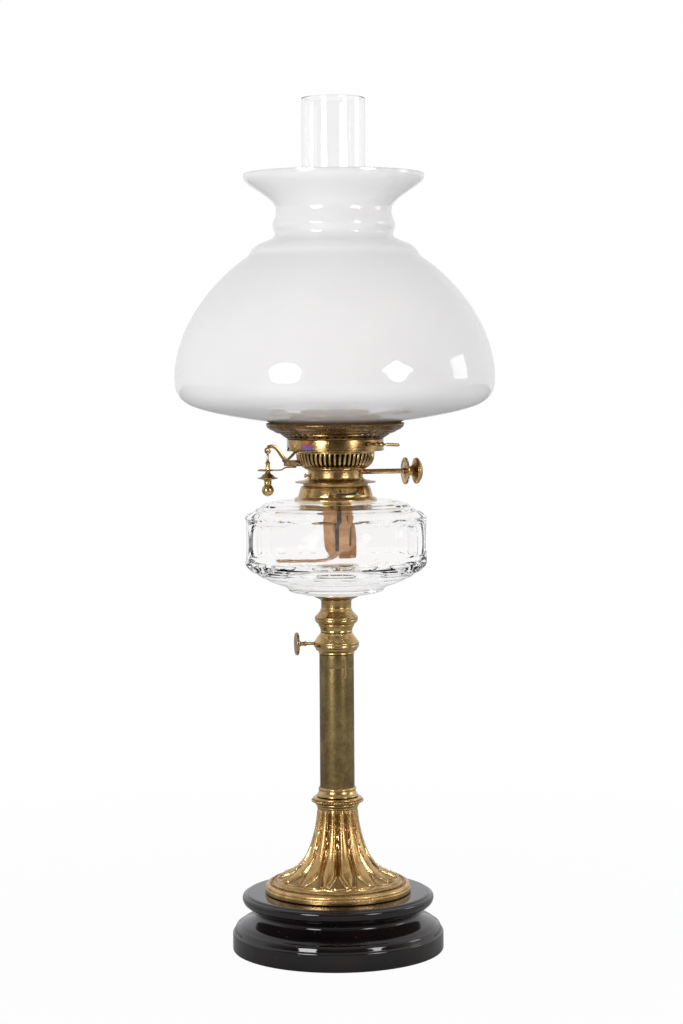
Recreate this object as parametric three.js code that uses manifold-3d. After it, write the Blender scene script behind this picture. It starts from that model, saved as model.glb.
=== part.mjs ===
// Kerosene table lamp: a glazed plinth, a cast foot with lotus leaves, a telescopic column, a
// panelled glass fount, a burner with two flat wicks, a chimney and an opal glass shade.
//
// Lengths are in millimetres and angles in degrees. +Z is up, the lamp stands on z = 0 with its axis
// on the Z axis, and its front looks along -Y. Each sub-assembly is a group whose own zero height is
// the face that it stands on. Outlines are lists of [radius, height].

import * as THREE from 'three';
import { mergeVertices } from 'three/addons/utils/BufferGeometryUtils.js';
import Module from 'manifold-3d';

// Gaps
const seatGap = 0.2; // between two pieces that rest on or in each other
const cementGap = 0.5; // round the glass neck, in the collar
const runningGap = 0.3; // around anything that turns or slides
const overrun = 1; // how far a cutting solid reaches past what it cuts
const weldDistance = 0.001; // corners nearer than this are one corner

// Sides of round pieces
const wideSides = 32;
const hoopSides = 24;
const middleSides = 16;
const smallSides = 12;
const tinySides = 6;

// Steps along curves
const plinthSteps = 11;
const shadeBodySteps = 10;
const shadeInnerSteps = 7;
const shadeFlareSteps = 4;
const chimneySteps = 6;
const domeSteps = 4;
const strapSteps = 9;
const wickSteps = 14;
const wireSteps = 24;
const leafRows = 6; // of a foot leaf, from its tip to the neck
const arcSegments = 6;
const slotEndSegments = 3;

// Plinth
const plinthRadius = 81;
const plinthHeight = 43.7;
const plinthBandHeight = 14; // the upright band that stands on the table
const plinthWall = 7;
const plinthRoof = 8;
const plinthCoveShare = 0.784; // radius of the cove's throat
const plinthShares = [
  [1, 0],
  [0.969, 0.1],
  [0.852, 0.33],
  [plinthCoveShare, 0.485],
  [0.852, 0.64],
  [0.909, 0.842],
  [0.852, 1],
];

// Bolt that holds the foot on the plinth
const boltRadius = 4;
const boltHeadRadius = 7;
const boltHeadHeight = 5;
const boltEnd = 3; // what shows below the nut
const nutRadius = 7.5;
const nutHeight = 6;
const washerRadius = 14;
const washerThickness = 2;

// Foot
const footRadius = 56;
const footHeight = 63.8;
const footNeckRadius = 15.2;
const footLeafCount = 14;
const footLeafTipRadius = 45;
const footLeafTipHeight = 10.9;
const footLeafNotchHeight = 17; // where two leaves part
const footLeafThickness = 1.3;
const footLeafRelief = 1.3; // how far a leaf's border stands above the groove beside it
const footCavityRadius = 44;
const footCavityTopRadius = 26;
const footWebHeight = 20;
const footWebThickness = 6;
const footFlareShare = 0.55; // of the leaf's flare that opens slowly, the rest opens near the tip
const footFlarePower = 1.8;
const footTipPower = 9;
const footRowPower = 1.5; // sets the leaf's rows closer to one another near the tip
const footReliefShares = [-0.7, 0.5, -0.2, 0.5]; // across one leaf, from the groove
const footFlangeShares = [
  [0.86, 0.14],
  [0.93, 0.114],
  [0.991, 0.083],
  [1, 0.044],
  [1, 0],
];

// Pearl ring and the cup on it
const beadRadius = 19.9;
const beadedRingHeight = 9.1;
const beadedRingShares = [
  [0.38, 0],
  [0.53, 0.34],
  [0.76, 0.46],
  [1, 0.63],
  [0.96, 0.82],
  [0.76, 1],
];
const cupRadius = 16.2;
const cupHeight = 8.6;
const cupShares = [
  [1, 0],
  [0.52, 0.3],
  [0.28, 0.68],
  [0.38, 0.88],
  [0.26, 1],
];

// Column and the tube that slides in it
const columnRadius = 13.3;
const columnWall = 1.2;
const columnLength = 118.2;
const innerTubeRadius = 10.7;
const innerTubeWall = 1.2;
const innerTubeOverlap = 9.2; // how far it reaches below the foot of the column

// Clamp collar and its thumbscrew
const clampRadius = 17.6;
const clampHeight = 16.4;
const clampScrewShare = 0.5; // height of the thumbscrew in the collar
const clampShares = [
  [0.39, 0],
  [0.41, 0.1],
  [0.64, 0.17],
  [0.8, 0.29],
  [1, 0.48],
  [0.79, 0.66],
  [0.46, 0.86],
  [0.2, 1],
];
const thumbscrewRadius = 1.35;
const thumbscrewHeadRadius = 8.75;
const thumbscrewHeadThickness = 2.5;
const thumbscrewReach = 14.6; // from the collar's widest radius to the outer face of the head
const thumbscrewAngle = 190; // direction that it points in, from +X

// Knop, dish and peg under the fount
const knopRadius = 16.9;
const knopHeight = 25.1;
const knopSocketDepth = 14;
const knopShares = [
  [0.24, 0],
  [0.29, 0.13],
  [0.43, 0.2],
  [0.77, 0.32],
  [0.98, 0.385],
  [1, 0.44],
  [0.59, 0.57],
  [0.2, 0.69],
  [0.13, 0.75],
  [0.13, 1],
];
const dishRadius = 17.8;
const dishHeight = 3.6;
const dishShares = [
  [0.55, 0],
  [0.76, 0.33],
  [0.91, 0.56],
  [1, 0.8],
  [1, 1],
];
const pegRadius = 5;
const pegFlangeRadius = 15;
const pegFlangeThickness = 1.2;

// Fount
const fountRadius = 70.9; // of the round form that the panels are cut from
const fountCornerRadius = 70.3; // across the corners between the panels
const fountPanelCount = 14;
const fountCornerAngle = 5.6; // of one corner, from the front towards +X
const fountHeight = 72.3;
const fountFootRadius = 26;
const fountWall = 8;
const fountFloor = 20;
const fountRoof = 5;
const fountNeckRadius = 24;
const fountNeckHeight = 4.7;
const fountNeckWall = 3;
const fountShares = [
  [0.34, 0],
  [0.48, 0.028],
  [0.56, 0.093],
  [0.614, 0.113],
  [0.739, 0.156],
  [0.822, 0.199],
  [0.853, 0.221],
  [0.917, 0.263],
  [0.973, 0.304],
  [0.996, 0.36],
  [1, 0.58],
  [0.996, 0.8],
  [0.977, 0.838],
  [0.917, 0.88],
  [0.832, 0.923],
  [0.776, 0.965],
  [0.728, 0.987],
  [0.635, 1],
  [0.45, 1],
];
const fountHollowShares = [
  [0.72, 0],
  [0.9, 0.05],
  [1, 0.18],
  [1, 0.6],
  [0.92, 0.78],
  [0.79, 0.9],
  [0.6, 1],
];

// Bayonet collar on the fount's neck
const collarFlangeRadius = 32;
const collarFlangeThickness = 2.3;
const collarHeight = 10.9;
const collarShares = [
  [0.71, 0.21],
  [0.66, 0.4],
  [0.5, 0.7],
  [0.42, 0.93],
  [0.36, 1],
];
const slotStartAngle = 7; // from the front towards +X
const slotEndAngle = 52;
const slotHeight = 3.6;
const slotRoof = 1.4; // metal above the slot
const slotEntryAngle = 15; // width of the mouth where a lug goes in
const eyeletRadius = 3.1;
const eyeletHoleRadius = 1.2;
const eyeletDepth = 2.6;
const eyeletHeight = 5.7;
const eyeletAngle = -5.7;

// Burner base
const burnerAngle = 15; // turn of the whole burner, which points the winders a little to the rear
const throatRadius = 21.2;
const throatWall = 1;
const plugDepth = 5; // of the stretch of throat that goes into the collar
const throatHeight = 14.4;
const burnerStepRadius = 25;
const burnerStepHeight = 2.3;
const burnerFlangeRadius = 31;
const burnerFlangeThickness = 1;
const burnerConeHeight = 2.1;
const lugWidth = 6;
const lugHeight = 2.4;
const lugReach = 6.2; // past the throat
const lugAngle = 15.6; // from the front towards +X, before the burner is turned
const spindleHeight = 10.4;
const tubePlateHeight = 1.2;
const tubePlateThickness = 1;
const burnerScrewRadius = 1.6;
const burnerScrewLength = 3.4;
const burnerScrewHeight = 8.1;

// Air basket, band and what stands in them
const basketBottomRadius = 23;
const basketRadius = 30.3;
const basketBottom = 12.7;
const basketTop = 26.9;
const basketWall = 0.8;
const basketSlotCount = 24;
const basketSlotShare = 0.45;
const basketShares = [
  [0, 0],
  [0.32, 0.17],
  [0.98, 0.87],
  [1, 1],
];
const bandRadius = 37.3;
const bandWall = 0.9;
const bandBottom = 27;
const bandHeight = 9;
const bandLip = 0.9;
const notchWidth = 4.4; // for the extinguisher's arm, in the basket's rim and the band's lip

// Wicks and their tubes
const wickTubeWidth = 29.8;
const wickTubeDepth = 3.8;
const wickTubeWall = 0.5;
const wickTubeOffset = 7.2; // from the burner's axis to the middle of a tube
const wickTubeBottom = -8.6;
const wickTubeTop = 40.9;
const wickWindowHeight = 8;
const wickWidth = 27.6;
const wickThickness = 2.2;
const wickShow = 1.1; // cotton above the tube
const wickBedGap = 6; // from the fount's floor to the middle of the tails
const frontWickTail = 48; // how far the front wick's tail runs to the left
const rearWickTail = 9;
// Along a wick below its tube: run of the tail, offset from the burner's axis, drop, width and quarter turns.
const frontWickShares = [
  [0, 1, 0, 1, 0],
  [0, 1, 0.08, 1, 0],
  [0.04, 1.1, 0.45, 0.9, 0],
  [0.1, 1.3, 0.8, 0.58, 0.4],
  [0.3, 1.5, 1, 0.55, 1],
  [1, 1.2, 1, 0.6, 1],
];
const rearWickShares = [
  [0, 1, 0, 1, 0],
  [0, 1, 0.08, 1, 0],
  [0.3, 0.8, 0.5, 0.9, 0],
  [1, 0, 1, 0.6, 0],
];

// Winders
const spurRadius = 5;
const spurWidth = 4.4;
const spurToothCount = 12;
const spurRootShare = 0.8;
const frontSpurPlace = 5; // from the burner's axis, towards the knobs
const rearSpurPlace = -6;
const innerShaftRadius = 1.05;
const outerShaftRadius = 1.95;
const frontDiscPlace = 55;
const frontDiscRadius = 10.4;
const frontDiscThickness = 2;
const rearKnobHubRadius = 4.1;
const rearKnobHubLength = 5.4;
const rearKnobRadius = 10.1;
const rearKnobThickness = 7;
const rearKnobShares = [
  [0.41, 0],
  [0.94, 0.06],
  [1, 0.3],
  [0.9, 0.52],
  [0.55, 0.76],
  [0.3, 0.96],
  [0, 1],
];

// Extinguisher
const pivotPlace = 39.9; // from the burner's axis, away from the knobs
const pivotHeight = 20.4;
const pinRadius = 0.9;
const armWidth = 2;
const armDepth = 2.2;
const armElbowShare = 1.5; // of the arm's width, from a bend to the pivot or the basket
const armBossRadius = 2.3;
const eyePlace = 53.5;
const eyeHeight = 27.8;
const eyeRadius = 2.6;
const eyeHoleRadius = 1.3;
const armTipPlace = 22;
const armTipHeight = 28.9;
const armArchHeight = 31.4; // top of the arm's outer bend
const cheekThickness = 0.9;
const bracketDepth = 5;
const bracketLength = 10;
const guideWireRadius = 0.6;
const guideLoopRadius = 6;
const guideLoopPlace = 55;
const guideHeight = 12.7;
const loopShare = 0.9; // of a full turn
const pullSaucerRadius = 7.9;
const pullLength = 31.6; // from the bottom of the ball to the bottom of the ring
const pullRingRadius = 1.95;
const pullWireRadius = 0.5;
const pullShares = [
  [0, 0],
  [0.35, 0.03],
  [0.58, 0.145],
  [0.35, 0.23],
  [0.23, 0.26],
  [0.35, 0.3],
  [0.34, 0.39],
  [1, 0.44],
  [0.94, 0.49],
  [0.33, 0.53],
  [0.24, 0.56],
  [0.2, 0.78],
  [0.29, 0.8],
  [0.29, 0.83],
  [0.11, 0.87],
  [0.1, 1],
  [0, 1],
];
const sleeveBottom = 29;
const sleeveHeight = 9.9;
const sleeveWall = 0.5;
const sleeveTabReach = 28.4;
const sleeveTabThickness = 1;
const sleeveTabGap = 0.5; // above the tip of the arm

// Lever that lifts the gallery
const leverAngle = -48; // direction that it points in, from +X, before the burner is turned
const leverHeight = 32.8;
const leverRadius = 1.1;
const leverCollarRadius = 2;
const leverReach = 34.4; // outside the band
const leverCollarShares = [0.02, 0.29, 0.44];
const leverCollarThickness = 1.1;
const camLength = 9;
const camThickness = 5.2;
const camWidth = 2;

// Gallery
const skirtTopRadius = 42;
const skirtHeight = 3.8;
const skirtWall = 0.8;
const skirtHoleCount = 18;
const skirtHoleShare = 0.5;
const skirtFlangeInnerRadius = 31;
const skirtShares = [
  [0, 0],
  [0.1, 0.2],
  [1, 0.82],
  [1, 1],
];
const galleryRimOutset = 2.8; // past the shade's foot
const galleryRimHeight = 6.6;
const galleryWall = 1;
const galleryHoleRadius = 26;
const galleryRimShares = [
  [0.27, 0.08],
  [0.727, 0.47],
  [1, 1],
];
const domeRadius = 25.4;
const domeHeight = 9.9;
const domeWall = 0.8;
const domeFlangeRadius = 28.4;
const domeSlotWidth = 30;
const domeSlotDepth = 5.2;
const springCount = 4;
const springWidth = 5;
const springThickness = 0.6;
const springHeight = 17.5;
const springGripShares = [0.25, 0.75]; // of its height, the stretch that stays upright
const springFoot = 4.6;

// Chimney
const chimneyFootRadius = 31.75;
const chimneyBulgeRadius = 35.5;
const chimneyTopRadius = 24.6;
const chimneyHeight = 257.2;
const chimneyWall = 2.2;
const chimneyBulgeHeight = 45;
const chimneyFootHeight = 20;
const chimneyShoulderHeight = 140; // where the straight top tube starts

// Shade
const shadeRadius = 123.6;
const shadeHeight = 195;
const shadeFitterRadius = 50.2;
const shadeNeckRadius = 44.4;
const shadeMouthRadius = 69.8;
const shadeWall = 2.5;
const shadeFitterShare = 0.018;
// From the neck's radius to the widest radius, and along the whole height.
const shadeBodyShares = [
  [0.24, 0.028],
  [0.65, 0.06],
  [0.927, 0.108],
  [1, 0.19],
  [0.947, 0.32],
  [0.782, 0.464],
  [0.494, 0.605],
  [0.278, 0.677],
];
const shadeStepShares = [
  [0.215, 0.709],
  [0.09, 0.736],
  [0.012, 0.759],
  [0.034, 0.795],
];
// From the neck's radius to the mouth's radius, and along the whole height.
const shadeFlareShares = [
  [0, 0.849],
  [0.14, 0.89],
  [0.61, 0.937],
  [0.99, 0.982],
  [1, 1],
];

// Finishes
const finishes = {
  glaze: new THREE.MeshStandardMaterial({ color: 0x17120f, roughness: 0.12, metalness: 0 }),
  castBrass: new THREE.MeshStandardMaterial({ color: 0xb08239, roughness: 0.32, metalness: 1 }),
  columnBrass: new THREE.MeshStandardMaterial({ color: 0x7d6538, roughness: 0.4, metalness: 1 }),
  burnerBrass: new THREE.MeshStandardMaterial({ color: 0x8f7040, roughness: 0.35, metalness: 1 }),
  steel: new THREE.MeshStandardMaterial({ color: 0x8c8f92, roughness: 0.4, metalness: 1 }),
  clearGlass: new THREE.MeshStandardMaterial({
    color: 0xdfe6e2,
    roughness: 0.04,
    metalness: 0,
    transparent: true,
    opacity: 0.35,
  }),
  opal: new THREE.MeshStandardMaterial({ color: 0xf0f0f2, roughness: 0.12, metalness: 0 }),
  cotton: new THREE.MeshStandardMaterial({ color: 0xc89669, roughness: 0.95, metalness: 0 }),
};

const wasm = await Module();
wasm.setup();

// Turns degrees into radians.
function radians(degrees) {
  return THREE.MathUtils.degToRad(degrees);
}

// A closed outline of [radius, height] turned about +Z.
function turned(outline, sides) {
  const points = outline.map(([radius, height]) => new THREE.Vector2(radius, height));
  if (THREE.ShapeUtils.area(points) < 0) points.reverse();
  if (points[0].x > 0) points.push(points[0].clone());
  return new THREE.LatheGeometry(points, sides).rotateX(Math.PI / 2);
}

// An outline whose shares run from an inner to an outer radius and from a low to a high level.
function between(shares, inner, outer, low, high) {
  return shares.map(([across, up]) => [
    THREE.MathUtils.lerp(inner, outer, across),
    THREE.MathUtils.lerp(low, high, up),
  ]);
}

// A smooth outline through a few points.
function smooth(points, steps) {
  const curve = new THREE.SplineCurve(points.map(([x, y]) => new THREE.Vector2(x, y)));
  return curve.getPoints(steps).map((point) => [point.x, point.y]);
}

// The same outline moved sideways, to the left of the way it runs.
function inset(outline, distance) {
  return outline.map((point, i) => {
    const before = outline[Math.max(i - 1, 0)];
    const after = outline[Math.min(i + 1, outline.length - 1)];
    const along = new THREE.Vector2(after[0] - before[0], after[1] - before[1]).normalize();
    return [point[0] - along.y * distance, point[1] + along.x * distance];
  });
}

// The height of a line of points at a given radius.
function heightAt(outline, radius) {
  const next = outline.findIndex((point) => point[0] >= radius);
  const [from, to] = [outline[next - 1], outline[next]];
  const share = (radius - from[0]) / (to[0] - from[0]);
  return THREE.MathUtils.lerp(from[1], to[1], share);
}

// A box between two corners.
function block(low, high) {
  const size = high.map((value, i) => value - low[i]);
  const middle = high.map((value, i) => (value + low[i]) / 2);
  return new THREE.BoxGeometry(...size).translate(...middle);
}

// A turned bar along +Z, from z = 0.
function bar(radius, length, sides) {
  return turned([[0, 0], [radius, 0], [radius, length], [0, length]], sides);
}

// A ring along +Z, from z = 0.
function ring(inner, outer, length, sides) {
  return turned([[inner, 0], [outer, 0], [outer, length], [inner, length]], sides);
}

// Lays what runs along +Z along +X.
function alongX(geometry) {
  return geometry.rotateY(Math.PI / 2);
}

// Lays what runs along +Z along +Y.
function alongY(geometry) {
  return geometry.rotateX(-Math.PI / 2);
}

// A manifold solid from a closed geometry.
function solidOf(geometry) {
  const bare = new THREE.BufferGeometry();
  bare.setAttribute('position', geometry.getAttribute('position').clone());
  if (geometry.index) bare.setIndex(geometry.index.clone());
  const merged = mergeVertices(bare, weldDistance);
  const index = merged.index.array;
  const faces = [];
  for (let i = 0; i < index.length; i += 3) {
    const [a, b, c] = [index[i], index[i + 1], index[i + 2]];
    if (a !== b && b !== c && c !== a) faces.push(a, b, c);
  }
  const corners = new Float32Array(merged.getAttribute('position').array);
  const mesh = { numProp: 3, vertProperties: corners, triVerts: new Uint32Array(faces) };
  return new wasm.Manifold(new wasm.Mesh(mesh));
}

// A geometry from a manifold solid.
function geometryOf(solid) {
  const mesh = solid.getMesh();
  const geometry = new THREE.BufferGeometry();
  geometry.setAttribute('position', new THREE.BufferAttribute(mesh.vertProperties, 3));
  geometry.setIndex(new THREE.BufferAttribute(mesh.triVerts, 1));
  return geometry;
}

// The first geometry without the others.
function cut(body, ...tools) {
  return geometryOf(tools.reduce((solid, tool) => solid.subtract(solidOf(tool)), solidOf(body)));
}

// All geometries as one.
function join(body, ...others) {
  return geometryOf(others.reduce((solid, other) => solid.add(solidOf(other)), solidOf(body)));
}

// Faces from lists of corner numbers, each list a flat face seen from outside.
function meshOf(corners, faces) {
  const geometry = new THREE.BufferGeometry();
  geometry.setAttribute('position', new THREE.Float32BufferAttribute(corners.flat(), 3));
  geometry.setIndex(faces.flatMap(([a, b, c, d]) => (d === undefined ? [a, b, c] : [a, b, c, a, c, d])));
  return geometry;
}

// A solid through rings of equally many corners, each ring closed by a fan at the two ends.
function stacked(rings) {
  const count = rings[0].length;
  const middleOf = (corners) => [0, 1, 2].map((axis) => corners.reduce((sum, p) => sum + p[axis], 0) / count);
  const corners = [...rings.flat(), middleOf(rings[0]), middleOf(rings.at(-1))];
  const [bottom, top, last] = [count * rings.length, count * rings.length + 1, count * (rings.length - 1)];
  const faces = [];
  for (let i = 0; i < count; i += 1) {
    const j = (i + 1) % count;
    faces.push([bottom, j, i], [top, last + i, last + j]);
    for (let ringStart = 0; ringStart < last; ringStart += count) {
      faces.push([ringStart + i, ringStart + j, ringStart + count + j, ringStart + count + i]);
    }
  }
  return meshOf(corners, faces);
}

// A turned sheet with a row of even openings in one of the bands between its outline's points.
function pierced(outline, wall, count, openBand, openShare) {
  const inner = inset(outline, wall);
  const columns = 2 * count;
  const corners = [outline, inner].flatMap((line) => line.flatMap(([radius, height]) =>
    Array.from({ length: columns }, (_, column) => {
      const turn = (Math.floor(column / 2) + (column % 2) * openShare) / count;
      return [radius * Math.cos(turn * 2 * Math.PI), radius * Math.sin(turn * 2 * Math.PI), height];
    })));
  const bands = outline.length - 1;
  const out = (row, column) => row * columns + (column + columns) % columns;
  const back = (row, column) => outline.length * columns + out(row, column);
  const isOpen = (band, column) => band === openBand && (column + columns) % 2 === 0;
  const faces = [];
  for (let b = 0; b < bands; b += 1) {
    for (let c = 0; c < columns; c += 1) {
      if (isOpen(b, c)) continue;
      faces.push([out(b, c), out(b, c + 1), out(b + 1, c + 1), out(b + 1, c)]);
      faces.push([back(b, c), back(b + 1, c), back(b + 1, c + 1), back(b, c + 1)]);
      if (isOpen(b, c + 1)) {
        faces.push([out(b, c + 1), back(b, c + 1), back(b + 1, c + 1), out(b + 1, c + 1)]);
      }
      if (isOpen(b, c - 1)) faces.push([out(b, c), out(b + 1, c), back(b + 1, c), back(b, c)]);
      if (b === bands - 1 || isOpen(b + 1, c)) {
        faces.push([out(b + 1, c), out(b + 1, c + 1), back(b + 1, c + 1), back(b + 1, c)]);
      }
      if (b === 0 || isOpen(b - 1, c)) faces.push([out(b, c), back(b, c), back(b, c + 1), out(b, c + 1)]);
    }
  }
  return meshOf(corners, faces);
}

// A strap of even width that follows a curve in the XZ plane, centred on y = 0.
function strap(points, width, depth, steps) {
  const middle = smooth(points, steps);
  const edge = [...inset(middle, width / 2), ...inset(middle, -width / 2).reverse()];
  const shape = new THREE.Shape(edge.map(([x, z]) => new THREE.Vector2(x, z)));
  const geometry = new THREE.ExtrudeGeometry(shape, { depth, bevelEnabled: false });
  return geometry.rotateX(Math.PI / 2).translate(0, depth / 2, 0);
}

// A round wire along a smooth curve.
function wire(points, radius, sides, steps) {
  const path = new THREE.CatmullRomCurve3(points.map((point) => new THREE.Vector3(...point)));
  const section = new THREE.Shape(Array.from({ length: sides }, (_, i) => {
    const turn = (i / sides) * 2 * Math.PI;
    return new THREE.Vector2(radius * Math.cos(turn), radius * Math.sin(turn));
  }));
  return new THREE.ExtrudeGeometry(section, { steps, extrudePath: path, bevelEnabled: false });
}

// A rectangle with half-round ends, centred on the origin.
function slotShape(width, depth) {
  const shape = new THREE.Shape();
  const straight = (width - depth) / 2;
  shape.absarc(straight, 0, depth / 2, -Math.PI / 2, Math.PI / 2);
  shape.absarc(-straight, 0, depth / 2, Math.PI / 2, 3 * Math.PI / 2);
  return shape;
}

// A straight prism of a shape, from one level to another.
function prism(shape, low, high) {
  const settings = { depth: high - low, bevelEnabled: false, curveSegments: slotEndSegments };
  return new THREE.ExtrudeGeometry(shape, settings).translate(0, 0, low);
}

// A part of a ring between two angles that are counted from the front towards +X.
function sector(inner, outer, fromAngle, toAngle, low, high) {
  const front = -Math.PI / 2;
  const shape = new THREE.Shape();
  shape.absarc(0, 0, outer, front + radians(fromAngle), front + radians(toAngle));
  shape.absarc(0, 0, inner, front + radians(toAngle), front + radians(fromAngle), true);
  const settings = { depth: high - low, bevelEnabled: false, curveSegments: arcSegments };
  return new THREE.ExtrudeGeometry(shape, settings).translate(0, 0, low);
}

// A flat cotton wick: a straight top, then smooth through stations of { at, turn, width }.
function ribbon(top, stations, thickness, steps) {
  const middle = new THREE.CatmullRomCurve3(stations.map(({ at }) => new THREE.Vector3(...at)));
  const ringAt = (point, along, turn, width) => {
    const across = new THREE.Vector3(Math.cos(turn), Math.sin(turn), 0);
    across.addScaledVector(along, -across.dot(along)).normalize();
    const normal = new THREE.Vector3().crossVectors(along, across);
    return [[1, 1], [-1, 1], [-1, -1], [1, -1]].map(([side, face]) => point.clone()
      .addScaledVector(across, (side * width) / 2)
      .addScaledVector(normal, (face * thickness) / 2)
      .toArray());
  };
  const down = new THREE.Vector3(0, 0, -1);
  const rings = [ringAt(new THREE.Vector3(...top), down, stations[0].turn, stations[0].width)];
  for (let i = 0; i <= steps; i += 1) {
    const place = (i / steps) * (stations.length - 1);
    const before = Math.min(Math.floor(place), stations.length - 2);
    const [from, to, share] = [stations[before], stations[before + 1], place - before];
    const along = i === 0 ? down : middle.getTangent(i / steps);
    const turn = THREE.MathUtils.lerp(from.turn, to.turn, share);
    const width = THREE.MathUtils.lerp(from.width, to.width, share);
    rings.push(ringAt(middle.getPoint(i / steps), along, turn, width));
  }
  return stacked(rings);
}

const lamp = new THREE.Group();

// Adds one named piece to a group.
function add(name, geometry, material, group) {
  const mesh = new THREE.Mesh(geometry, material);
  mesh.name = name;
  mesh.geometry.computeVertexNormals();
  group.add(mesh);
}

// Plinth: an upright band, a rounded shoulder, a cove and a bulged top, hollow underneath.
const plinthPoints = between(plinthShares, 0, plinthRadius, plinthBandHeight, plinthHeight);
const plinthCeiling = plinthHeight - plinthRoof;
const boltHoleRadius = boltRadius + runningGap;
const plinthCoveInner = plinthRadius * plinthCoveShare - plinthWall;
add('plinth', turned([
  [boltHoleRadius, plinthCeiling],
  [plinthCoveInner, plinthCeiling],
  [plinthCoveInner, plinthBandHeight + plinthWall],
  [plinthRadius - plinthWall, plinthBandHeight],
  [plinthRadius - plinthWall, 0],
  [plinthRadius, 0],
  ...smooth(plinthPoints, plinthSteps),
  [boltHoleRadius, plinthHeight],
], wideSides), finishes.glaze, lamp);

// Foot: leaves that flare from the neck to their tips, over a flange.
const foot = new THREE.Group();
foot.position.z = plinthHeight + seatGap;
lamp.add(foot);

// Radius of the leaves at a height above the flange's underside.
function leafRadius(height) {
  const down = (footHeight - height) / (footHeight - footLeafTipHeight);
  const flare = footFlareShare * down ** footFlarePower + (1 - footFlareShare) * down ** footTipPower;
  return THREE.MathUtils.lerp(footNeckRadius, footLeafTipRadius, flare);
}

// One ring of the foot; place(leaf) gives [radius, height] where leaf runs from 0 to 1 across a leaf.
function footRing(place) {
  const samples = footReliefShares.length;
  return Array.from({ length: footLeafCount * samples }, (_, i) => {
    const angle = (i / (footLeafCount * samples)) * 2 * Math.PI - Math.PI / 2;
    const [radius, height] = place((i % samples) / samples, footReliefShares[i % samples]);
    return [radius * Math.cos(angle), radius * Math.sin(angle), height];
  });
}

const leafEdge = (leaf) => THREE.MathUtils.lerp(
  footLeafTipHeight,
  footLeafNotchHeight,
  Math.abs(2 * leaf - 1) ** 2,
);
const footRings = between(footFlangeShares, 0, footRadius, 0, footHeight)
  .reverse()
  .map((point) => footRing(() => point));
footRings.push(footRing((leaf) => [leafRadius(leafEdge(leaf)), leafEdge(leaf) - footLeafThickness]));
for (let row = 0; row <= leafRows; row += 1) {
  footRings.push(footRing((leaf, relief) => {
    const height = THREE.MathUtils.lerp(leafEdge(leaf), footHeight, (row / leafRows) ** footRowPower);
    const radius = leafRadius(height);
    return [radius + relief * footLeafRelief * Math.sqrt(radius / footLeafTipRadius), height];
  }));
}
const footBoreRadius = columnRadius - columnWall;
const footWebTop = footWebHeight + footWebThickness;
add('foot', cut(
  stacked(footRings),
  turned([
    [0, -overrun],
    [footCavityRadius, -overrun],
    [footCavityTopRadius, footWebHeight],
    [0, footWebHeight],
  ], middleSides),
  bar(boltHoleRadius, footHeight, smallSides),
  bar(footBoreRadius, footHeight, middleSides).translate(0, 0, footWebTop),
), finishes.castBrass, foot);

// Tie bolt, from the foot's web down through the plinth's roof.
const washerBottom = plinthCeiling - seatGap - washerThickness;
const nutBottom = washerBottom - seatGap - nutHeight;
const boltHeadBottom = foot.position.z + footWebTop + seatGap;
const boltBottom = nutBottom - boltEnd;
add('tie_bolt', turned([
  [0, boltBottom],
  [boltRadius, boltBottom],
  [boltRadius, boltHeadBottom],
  [boltHeadRadius, boltHeadBottom],
  [boltHeadRadius, boltHeadBottom + boltHeadHeight],
  [0, boltHeadBottom + boltHeadHeight],
], smallSides), finishes.steel, lamp);
const washer = ring(boltHoleRadius, washerRadius, washerThickness, smallSides);
add('base_washer', washer.translate(0, 0, washerBottom), finishes.steel, lamp);
const hexagonSides = 6;
add('base_nut', cut(
  bar(nutRadius, nutHeight, hexagonSides),
  bar(boltRadius + seatGap, nutHeight + 2 * overrun, smallSides).translate(0, 0, -overrun),
).translate(0, 0, nutBottom), finishes.steel, lamp);

// Pearl ring, cup and column, all standing on the foot.
const column = new THREE.Group();
column.position.z = foot.position.z + footHeight + seatGap;
lamp.add(column);
const columnBore = columnRadius + seatGap;
const beadedOutline = between(beadedRingShares, columnBore, beadRadius, 0, beadedRingHeight);
add('beaded_ring', turned([
  [columnBore, 0],
  ...beadedOutline,
  [columnBore, beadedRingHeight],
], middleSides), finishes.castBrass, column);
const cupBottom = beadedRingHeight + seatGap;
add('column_collar', turned([
  [columnBore, cupBottom],
  ...between(cupShares, columnBore, cupRadius, cupBottom, cupBottom + cupHeight),
  [columnBore, cupBottom + cupHeight],
], middleSides), finishes.castBrass, column);
const columnTube = ring(columnRadius - columnWall, columnRadius, columnLength, middleSides);
add('column_tube', columnTube, finishes.columnBrass, column);

// Clamp collar on the column, bored for the sliding tube and tapped for the thumbscrew.
const clamp = new THREE.Group();
clamp.position.z = column.position.z + columnLength + seatGap;
lamp.add(clamp);
const clampBore = innerTubeRadius + runningGap;
const screwHeight = clampHeight * clampScrewShare;
const clampScrewHole = alongX(bar(thumbscrewRadius + runningGap, clampRadius + overrun, smallSides))
  .rotateZ(radians(thumbscrewAngle))
  .translate(0, 0, screwHeight);
add('clamp_collar', cut(turned([
  [clampBore, 0],
  ...between(clampShares, clampBore, clampRadius, 0, clampHeight),
  [clampBore, clampHeight],
], middleSides), clampScrewHole), finishes.columnBrass, clamp);
const screwTip = clampBore;
const screwEnd = clampRadius + thumbscrewReach;
const screwShoulder = screwEnd - thumbscrewHeadThickness;
add('thumbscrew', alongX(turned([
  [0, screwTip],
  [thumbscrewRadius, screwTip],
  [thumbscrewRadius, screwShoulder],
  [thumbscrewHeadRadius, screwShoulder],
  [thumbscrewHeadRadius, screwEnd],
  [0, screwEnd],
], middleSides)).rotateZ(radians(thumbscrewAngle)).translate(0, 0, screwHeight), finishes.columnBrass, clamp);

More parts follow.
